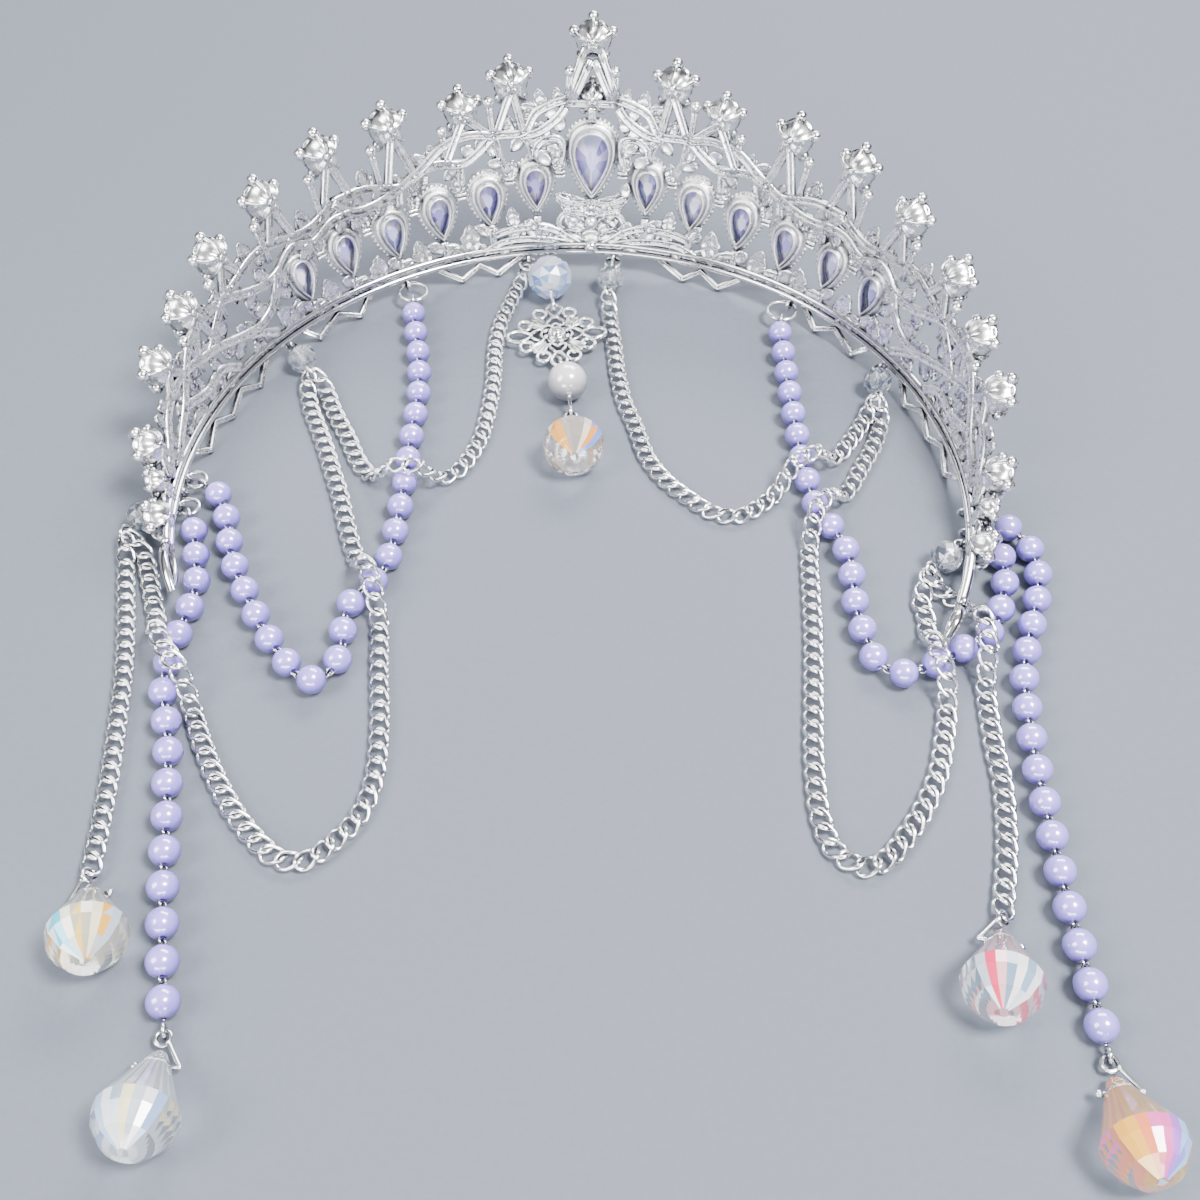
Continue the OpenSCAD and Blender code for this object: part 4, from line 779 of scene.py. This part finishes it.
def sprigs(shape, line, side, step, draw):
    """Small leaves on both sides of a vine."""
    q = smooth_line(line, 6)
    flat = Line([(wall_r(z) * math.radians(a), (z - BAND_Z) / math.cos(LEAN), 0) for a, z in q])
    turn = 1
    s = step / 2
    while s < flat.total:
        a, z = [np.interp(s, flat.s, q[:, k]) for k in (0, 1)]
        d = flat.heading(s)
        tilt = math.degrees(math.atan2(d[0], d[1])) + turn * draw.uniform(38, 70)
        wall_leaf(shape, a, z, draw.uniform(3.2, 4.8), draw.uniform(1.15, 1.65), tilt, side, 6, 5)
        turn = -turn
        s += step * draw.uniform(0.8, 1.2)


def pear_outline(w, length, n, h=0.0):
    """Points of a pear form; sin(t) * sin(t / 2) is 0.77 at most."""
    out = []
    for i in range(n):
        t = TAU * i / n
        out.append((w / 2 * math.sin(t) * math.sin(t / 2) / 0.77, -length / 2 * math.cos(t), h))
    return out


def pear_setting(shape, angle, z, window, stone, rim):
    """Collar round a pear stone: a smooth lip at the window, a sloping wall and a beaded rim in front."""
    w0, l0 = window
    w1, l1 = stone[0] + 0.5, stone[1] + 0.9
    w2, l2 = stone[0] + rim[0], stone[1] + rim[1]
    levels = [(w1, l1, -3.4), (w1, l1, -0.6), (w0, l0, -0.6), (w0, l0, 0.6)]
    levels += [(w0 + (w2 - w0) * t, l0 + (l2 - l0) * t, h) for t, h in COLLAR]
    n = 48
    points = [p for w, length, h in levels for p in pear_outline(w, length, n, h)]
    shape.add(on_wall(points, angle, z), skin(len(levels), n, True))
    edge = pear_outline(w2 - 0.3, l2 - 0.4, 64)
    beads = Line(edge + edge[:1])
    count = round(beads.total / RIM_BEAD_PITCH)
    for i in range(count):
        x, y, _ = beads.at(beads.total * i / count)
        ball(shape, on_wall([(x, y, -1.25)], angle, z)[0], RIM_BEAD_R, 8)


def star_cup(shape, angle, z, k):
    """Round cup seen from its back: a folded dome with a hole, five ball prongs and their claws."""
    along, up, head = wall_axes(angle)
    c = wall_point(angle, z)
    n = 40
    points = []
    for i, (r, h) in enumerate(CUP_SECTION):
        for j in range(n):
            t = TAU * j / n
            fold = math.cos(5 * (t - math.pi / 2)) if 2 <= i <= 8 else 0
            out = r * (1 + 0.06 * fold) * (math.cos(t) * along + math.sin(t) * up)
            points.append(c + k * (out + (h + (0.34 * fold - 0.12) * r / 3) * head))
    shape.add(points, skin(len(CUP_SECTION), n, True))
    ball(shape, c + 0.75 * k * head, 0.85 * k, 10)
    for i in range(5):
        t = math.pi / 2 + TAU * i / 5
        out = math.cos(t) * along + math.sin(t) * up
        ball(shape, c + k * (PRONG[0] * out + PRONG[1] * head), PRONG_R * k, 14)
        line = smooth_line([c + k * (r * out + h * head) for r, h in CLAW], 3)
        sweep(shape, line, np.cross(out, head), circle(CLAW_R * k, 8), False,
              np.linspace(0.8, 1.1, len(line)))


def on_side(line, side):
    """True where a line of the right half is wanted: on the left, all but those of the middle."""
    return side == 1 or line[0][0] > 0 or line[-1][0] > 0


def vine_pieces():
    strips, leaves, sprays = Shape(), Shape(), Shape()
    for side in (-1, 1):
        for i, line in enumerate(VINES):
            wall_strip(strips, line, side, VINE_WIDE, 5, 0.03 * (i % 3))
        for i, line in enumerate(SCROLLS):
            if on_side(line, side):
                wide = SCROLL_WIDE if line[0][0] > 0 else CENTRE_SCROLL_WIDE
                wall_strip(strips, line, side, wide, 5, -0.04 - 0.03 * (i % 4))
        for line in CREST:
            if on_side(line, side):
                wall_strip(strips, line, side, CREST_WIDE, 3, 0.05)
        for line in FRINGE:
            wall_strip(strips, [(a, max(z, FRINGE_LOW)) for a, z in line], side, FRINGE_WIDE, 1)
        for i, (a, z, _, *feet) in enumerate(STARS):
            for j, foot in enumerate(feet):
                leg = [foot, ((foot[0] + a) / 2, (foot[1] + z - 1) / 2), (a, z - 1)]
                wall_strip(strips, leg, side, LEG_WIDE, 3, 0.08 + 0.03 * j)
            if i < STUD_CUPS:
                arm = [(a + x, z + y) for x, y in (STUD_FOOT, STUD_OFFSET)]
                wall_strip(strips, arm, side, STUD_WIDE, 4, 0.02)
        for leaf in LEAVES:
            if side == 1 or leaf[0] > 0:
                wall_leaf(leaves, *leaf, side)
        for a, z in CLIPS:
            for dz in (-0.45, 0.45):
                path = on_wall([(x, dz, 0.35) for x in np.linspace(-1.1, 1.1, 5)], side * a, z)
                sweep(strips, path, wall_axes(side * a)[2], circle(0.42, 8))
    for side in (-1, 1):
        draw = np.random.default_rng(11)
        for line in VINES:
            sprigs(sprays, line, side, VINE_SPRIG_STEP, draw)
        for line in SCROLLS:
            if side == 1 or line[0][0] > 0:
                sprigs(sprays, line, side, SCROLL_SPRIG_STEP, draw)
    sprays.build("frame_sprigs", SMOOTH_CAST, ["crown_frame"], "silver_metal")
    strips.build("frame_vines", SMOOTH_CAST, ["crown_frame"], "silver_metal")
    leaves.build("frame_leaves", SMOOTH_CAST, ["crown_frame"], "silver_metal")


def setting_pieces():
    pears, cups = Shape(), Shape()
    pear_setting(pears, 0, CENTRE_PEAR_Z, *CENTRE_SETTING)
    star_cup(cups, 0, PEAK_Z, 1)
    star_cup(cups, 0, CREST_Z, CREST_K)
    for side in (-1, 1):
        for a, z in PEARS:
            pear_setting(pears, side * a, z, *SIDE_SETTING)
        for i, (a, z, k, *_) in enumerate(STARS):
            star_cup(cups, side * a, z, k)
            if i < STUD_CUPS:
                ball(cups, wall_point(side * (a + STUD_OFFSET[0]), z + STUD_OFFSET[1]), KNOB_R, 14)
        ball(cups, wall_point(side * KNOB[0], KNOB[1]), KNOB_R, 14)
    for z, r in CENTRE_BALLS:
        ball(cups, wall_point(0, z, 0.2), r, 16)
    pears.build("frame_pear_settings", CAST, ["crown_frame"], "silver_metal")
    cups.build("frame_star_cups", SMOOTH_CAST, ["crown_frame"], "silver_metal")


def almond(length, w, n):
    angles = [TAU * i / n for i in range(n)]
    return [(length / 2 * math.cos(t), w / 2 * math.sin(t) * abs(math.sin(t))) for t in angles]


def band_piece():
    band = Shape()
    angles = np.linspace(-LEFT_BAND_END, RIGHT_BAND_END, 180)
    ups = [wall_axes(a)[2] for a in angles]
    for z in (BAND_Z, BAND_Z + WIRE_PITCH):
        sweep(band, [polar(wall_r(z), 1, a, z) for a in angles], ups,
              [(BAND_WIRE[0] * x, BAND_WIRE[1] * y) for x, y in BAND_SECTION])
    z = BAND_Z + WIRE_PITCH / 2
    sweep(band, [polar(wall_r(z) + 0.15, 1, a, z) for a in angles], ups, circle(MIDDLE_WIRE, 8))
    for side, (angle, length, w) in ((-1, LEFT_LOOP), (1, RIGHT_LOOP)):
        n = 48
        outer, inner = almond(length, w, n), almond(length - LOOP_RIM[0], w - LOOP_RIM[1], n)
        points = [((1 - t) * a[0] + t * b[0], (1 - t) * a[1] + t * b[1], h)
                  for t, h in LOOP_SECTION for a, b in zip(outer, inner)]
        band.add(on_wall(points, side * angle, LOOP_Z), skin(len(LOOP_SECTION), n, True))
    for side, a in LUGS:
        t = math.radians(a)
        normal = (math.cos(t), -side * math.sin(t), 0)
        ring(band, polar(BAND_R, side, a, LUG_Z), normal, LUG_R, LUG_WIRE, 20)
    for side in (-1, 1):
        for a in FEET:
            ball(band, polar(wall_r(0.55), side, a, 0.72), FOOT_R, 12)
    band.build("frame_band", POLISHED, ["crown_frame"], "silver_metal")


# Strands

LUG_INSIDE = BAND_R - LUG_R
BEADS = {
    "left": (polar(LUG_INSIDE, -1, 56.4, LUG_Z), unit((0.58, -0.81, 0.05))),
    "right": (polar(LUG_INSIDE, 1, 57.2, LUG_Z), unit((-0.13, -0.99, 0.05))),
    "centre": (ring_exit(RIGHT_RINGS[3], (4.4, 62)), unit((-0.05, -1, 0.05))),
    "left_end": (ring_exit(LEFT_RINGS[3], (-78.5, -8)), unit((-0.42, -0.91, 0.05))),
    "right_end": (polar(LUG_INSIDE, 1, 97, LUG_Z), unit((-0.69, -0.72, 0.05))),
}
FAR = {name: e + 2 * CLEAR_FAR * d for name, (e, d) in BEADS.items()}

STRINGS = {
    "left_swag": strand([xy(ring_exit(LEFT_RINGS[0], LEFT_SWAG[0]))] + LEFT_SWAG
                        + [xy(ring_exit(LEFT_RINGS[1], LEFT_SWAG[-1]))], PEARL_R, LUG_Z, LUG_Z, []),
    "left_tail": strand([xy(ring_exit(LEFT_RINGS[2], LEFT_TAIL[0]))] + LEFT_TAIL
                        + [drop_eye("left_pearl", EYE_R)], PEARL_R, LUG_Z, THREAD_END_Z, []),
    "right_swag": strand([xy(ring_exit(RIGHT_RINGS[0], RIGHT_SWAG[0]))] + RIGHT_SWAG
                         + [xy(ring_exit(RIGHT_RINGS[2], RIGHT_SWAG[-1]))], PEARL_R, LUG_Z, LUG_Z, []),
    "right_tail": strand([xy(ring_exit(RIGHT_RINGS[1], RIGHT_TAIL[0]))] + RIGHT_TAIL
                         + [drop_eye("right_pearl", EYE_R)], PEARL_R, LUG_Z, THREAD_END_Z, []),
}
SHORT_RING = ring_centre(LEFT_RINGS[4])
CHAINS = {
    "chain_left_short": (strand([xy(FAR["left"])] + LEFT_SHORT
                                + [(SHORT_RING[0], SHORT_RING[1] - RING_SLACK)], LINK_Z, FAR["left"][2],
                                LUG_Z, [(-31.8, 3.6, OVER_RUN)]), -0.5),
    "chain_left_long": (strand([xy(FAR["left"])] + LEFT_LONG + [xy(FAR["left_end"])], TUBE_R, FAR["left"][2],
                               FAR["left_end"][2], [(-34.5, -22.8, OVER_RUN), (-65.4, -43.6, OVER_RUN),
                                                    (-66.6, -38.6, OVER_RUN)]), -0.25),
    "chain_left_tail": (strand([xy(FAR["left_end"])] + LEFT_END + [drop_eye("left_chain", 0)], LINK_Z,
                               FAR["left_end"][2], HEADPIN_EYE_Z, []), -0.5),
    "chain_right_short": (strand([xy(FAR["centre"])] + RIGHT_SHORT + [xy(FAR["right"])], LINK_Z,
                                 FAR["centre"][2], FAR["right"][2], [(44.3, 9.8, OVER_RUN)]), -0.5),
    "chain_right_long": (strand([xy(FAR["right"])] + RIGHT_LONG + [xy(FAR["right_end"])], TUBE_R,
                                FAR["right"][2], FAR["right_end"][2],
                                [(47, -1.9, OVER_RUN), (64.2, -36.2, OVER_RUN)]), -0.25),
    "chain_right_tail": (strand([xy(FAR["right_end"])] + RIGHT_END + [drop_eye("right_chain", 0)], LINK_Z,
                                FAR["right_end"][2], HEADPIN_EYE_Z,
                                [(72.5, -29.4, SHORT_RUN), (72.9, -31.8, OVER_RUN)]), -0.5),
}


def curb_link(shape, centre, heading):
    """One open link of a curb chain, turned a little across the run and lying on the next."""
    flat = unit(np.cross(heading, (0, 0, 1)))
    top = np.cross(flat, heading)
    long = math.cos(LINK_TURN) * heading + math.sin(LINK_TURN) * flat
    wide = math.cos(LINK_TURN) * flat - math.sin(LINK_TURN) * heading
    n = 28
    path = []
    for i in range(n):
        t = TAU * i / n
        rise = LINK_LIFT * math.cos(t) + LINK_TWIST * math.sin(2 * t)
        path.append(centre + LINK_HALF * math.cos(t) * long + LINK_WIDE * math.sin(t) * wide + rise * top)
    sweep(shape, path, top + 0.01 * wide, circle(LINK_WIRE, 8), True)


def chain_pieces():
    for name, (line, drop) in CHAINS.items():
        shape = Shape()
        for s in steps(line.total, LINK_R, LINK_PITCH):
            ease = min(1, s / 8, (line.total - s) / 8)
            c = line.at(s) + np.array([0, 0, drop * ease])
            curb_link(shape, c, line.heading(s))
        shape.build(name + "_links", WIRE, [name], "silver_wire")


def string_pieces():
    pearl = half_circle(PEARL_R, 20, DRILL_R, 0.965)
    for name, line in STRINGS.items():
        pearls, wires = Shape(), Shape()
        places = steps(line.total, PEARL_LEAD, PEARL_PITCH)
        for s in places:
            turned(pearls, line.at(s), side_axes(line.heading(s)), pearl, 28)
        for a, b in zip(places, places[1:]):
            mid, d = line.at((a + b) / 2), line.heading((a + b) / 2)
            side, up, _ = side_axes(d)
            reach = (b - a) / 2 - PEARL_R
            for way, face in ((-1, side + 0.55 * up), (1, up - 0.55 * side)):
                ring(wires, mid + way * KNOT_SHIFT * d, face, KNOT_R, KNOT_WIRE, 16, KNOT_STRETCH, d)
                tube(wires, [mid + way * (reach + 0.25) * d, mid + way * 0.95 * d], THREAD_R)
        for s, way, last in ((0.0, 1, places[0]), (line.total, -1, places[-1])):
            side = side_axes(line.heading(s + 0.4 * way))[0]
            ring(wires, line.at(s), side, EYE_R, EYE_WIRE * 0.85, 20)
            tube(wires, [line.at(s + way * EYE_R), line.at(last - way * PEARL_R * 0.9)], 0.26)
        pearls.build("pearls_" + name + "_beads", LILAC, ["pearls_" + name], "lilac_pearl")
        wires.build("thread_" + name + "_wires", WIRE, ["thread_" + name], "silver_wire")


def plate_piece():
    """Filigree plate of the pendant, in raised wire: pear loops, curls, ribbed fans, a domed button."""
    t, r = math.radians(PLATE_TILT), math.radians(PLATE_TURN)
    x = np.array([math.cos(r), math.sin(r), 0])
    y = np.array([-math.sin(r) * math.cos(t), math.cos(r) * math.cos(t), math.sin(t)])
    z = np.cross(x, y)
    c = np.array(PLATE_CENTRE)
    plate = Shape()

    def place(points, turn):
        """Moves points (across, out, height) of one arm to the plate, turned about its middle."""
        a = math.radians(turn)
        axes = np.array([math.cos(a) * x + math.sin(a) * y, math.cos(a) * y - math.sin(a) * x, z])
        p = np.asarray(points, float)
        return c + p @ axes[:p.shape[1]]

    def wire(points, turn, wide):
        k = 4
        line = smooth_line(points[-1:] + points + points[:2], k)[k:-k - 1]
        sweep(plate, place(line, turn), z, [(wide * a, 0.5 * b) for a, b in circle(1, 8)], True)

    def loop(first, half, last, turn, wide):
        wire([first] + half + [last] + [(-a, b) for a, b in half[::-1]], turn, wide)

    for turn, tip in ((0, 9.4), (90, 10.3), (180, 9.4), (270, 10.3)):
        loop((0, 5.3), [(1.15, 6.6), (1.65, 7.9), (1.0, tip - 0.5)], (0, tip), turn, 0.42)
        loop((0, 5.6), [(1.75, 3.6), (1.2, 2.7)], (0, 3.3), turn, 0.36)
        for s in (-1, 1):
            a = math.radians(s * 26)
            wire([(7.2 * math.sin(a) + p, 7.2 * math.cos(a) + q) for p, q in circle(1.35, 8)], turn, 0.42)
            ball(plate, place([(s, 2.2, 0.35)], 45 + turn)[0], 0.6, 10)
        rows, columns = 7, 25
        top = []
        for i in range(rows):
            share = i / (rows - 1)
            for j in range(columns):
                v = 2 * j / (columns - 1) - 1
                rib = abs(math.cos(2.5 * math.pi * v))
                far = 3.1 + (3.8 - 0.5 * v * v + 0.25 * rib) * share
                a = math.radians(20 * v * (0.75 + 0.25 * share))
                top.append((far * math.sin(a), far * math.cos(a), 0.1 + 0.3 * rib))
        low = [(p, q, -0.3) for p, q, _ in top]
        plate.add(place(top + low, 45 + turn), sheet_faces(rows, columns))
    turned(plate, c, (x, y, z), BUTTON_SECTION, 28)
    plate.build("filigree_plate_wires", WIRE, ["filigree_plate"], "silver_metal")


def bead_pieces():
    for name, (e, d) in BEADS.items():
        bead = Shape()
        turned(bead, e + CLEAR_FAR * d, side_axes(d), BEAD_SECTION, 10, 0, True)
        bead.build("clear_bead_" + name + "_cut", CLEAR_GLASS, ["clear_bead_" + name], "clear_crystal", True)
    big = Shape()
    turned(big, BIG_CENTRE, side_axes(BIG_DIR), BIG_BEAD_SECTION, 9, 0.2, True)
    big.build("big_bead_cut", ICE_GLASS, ["big_bead"], "ice_crystal", True)
    white = Shape()
    turned(white, WHITE_CENTRE, side_axes(WHITE_DIR), half_circle(WHITE_PEARL_R, 32, 0.45), 48)
    white.build("white_pearl_bead", IVORY, ["white_pearl"], "white_pearl")


def drop_pieces():
    for name, (top, heading) in DROPS.items():
        a = math.radians(heading)
        flat = np.array([math.cos(a), math.sin(a), 0])
        axis = math.cos(DROP_TILT) * flat + np.array([0, 0, math.sin(DROP_TILT)])
        side = np.array([-math.sin(a), math.cos(a), 0])
        axes = (side, np.cross(axis, side), axis)
        look = fan_glass("drop_" + name + "_look", axes, FANS[name])
        drop = Shape()
        turned(drop, (*top, DROP_TOP_Z), axes, DROP_SECTION, DROP_SIDES, math.pi / DROP_SIDES)
        drop.build("drop_" + name + "_cut", look, ["drop_" + name], "iridescent_crystal", True)


def dress_cad():
    """Materials of the CAD pieces that stay."""
    for name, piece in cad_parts.items():
        if name.startswith(("bead_pin", "headpin", "jump_rings", "big_bead_pin", "pendant_pin")):
            look = WIRE
        elif name.startswith(("pear_stone", "centre_pear")):
            look = PEAR_GLASS
        elif name.startswith(("star_stones", "peak_stone", "crest_stone")):
            look = ROUND_GLASS
        else:
            continue
        piece.data.materials.clear()
        piece.data.materials.append(look)


vine_pieces()
setting_pieces()
band_piece()
chain_pieces()
string_pieces()
plate_piece()
bead_pieces()
drop_pieces()
dress_cad()

# Floor, light and world
FLOOR_HALF = 3.0
corners = [(x * FLOOR_HALF, y * FLOOR_HALF, 0) for x, y in ((-1, -1), (1, -1), (1, 1), (-1, 1))]
floor_mesh = bpy.data.meshes.new("floor")
floor_mesh.from_pydata(corners, [], [(0, 1, 2, 3)])
floor = bpy.data.objects.new("floor", floor_mesh)
bpy.context.scene.collection.objects.link(floor)
floor_look, floor_tree, floor_bsdf = material("floor_look", Roughness=0.85)
tone = ramp(floor_tree, noise(floor_tree, 900, 4), [(0.3, (0.125, 0.14, 0.175)),
                                                    (0.7, (0.135, 0.15, 0.185))])
floor_tree.links.new(tone, floor_bsdf.inputs["Base Color"])
floor_mesh.materials.append(floor_look)


def area_light(name, at, target, size, power):
    data = bpy.data.lights.new(name, "AREA")
    data.shape = "RECTANGLE"
    data.size, data.size_y = size
    data.energy = power
    light = bpy.data.objects.new(name, data)
    light.location = at
    way = Vector(target) - Vector(at)
    light.rotation_euler = way.to_track_quat("-Z", "Y").to_euler()
    bpy.context.scene.collection.objects.link(light)


area_light("key", (0.35, -0.15, 0.72), (0, 0, 0.02), (0.24, 0.24), 18)
area_light("fill", (-0.5, -0.25, 0.5), (0, 0, 0.02), (0.3, 0.4), 6)
area_light("back", (0.1, 0.6, 0.5), (0, 0.05, 0.03), (0.6, 0.25), 10)
area_light("low", (0.0, -0.6, 0.16), (0, 0.05, 0.03), (0.7, 0.14), 5)

world = bpy.data.worlds.new("world")
bpy.context.scene.world = world
world.use_nodes = True
sky = world.node_tree
around = node(sky, "TexCoord", {}).outputs["Generated"]
height = node(sky, "SeparateXYZ", {"Vector": around}).outputs["Z"]
shade = ramp(sky, height, [(0.0, (0.75, 0.77, 0.82)), (0.12, (0.5, 0.52, 0.56)), (0.3, (0.14, 0.145, 0.17)),
                           (0.5, (0.22, 0.23, 0.26)), (0.6, (0.95, 0.96, 1.0)), (0.85, (1.4, 1.4, 1.4))])
background = sky.nodes["Background"]
sky.links.new(shade, background.inputs["Color"])
background.inputs["Strength"].default_value = 0.36
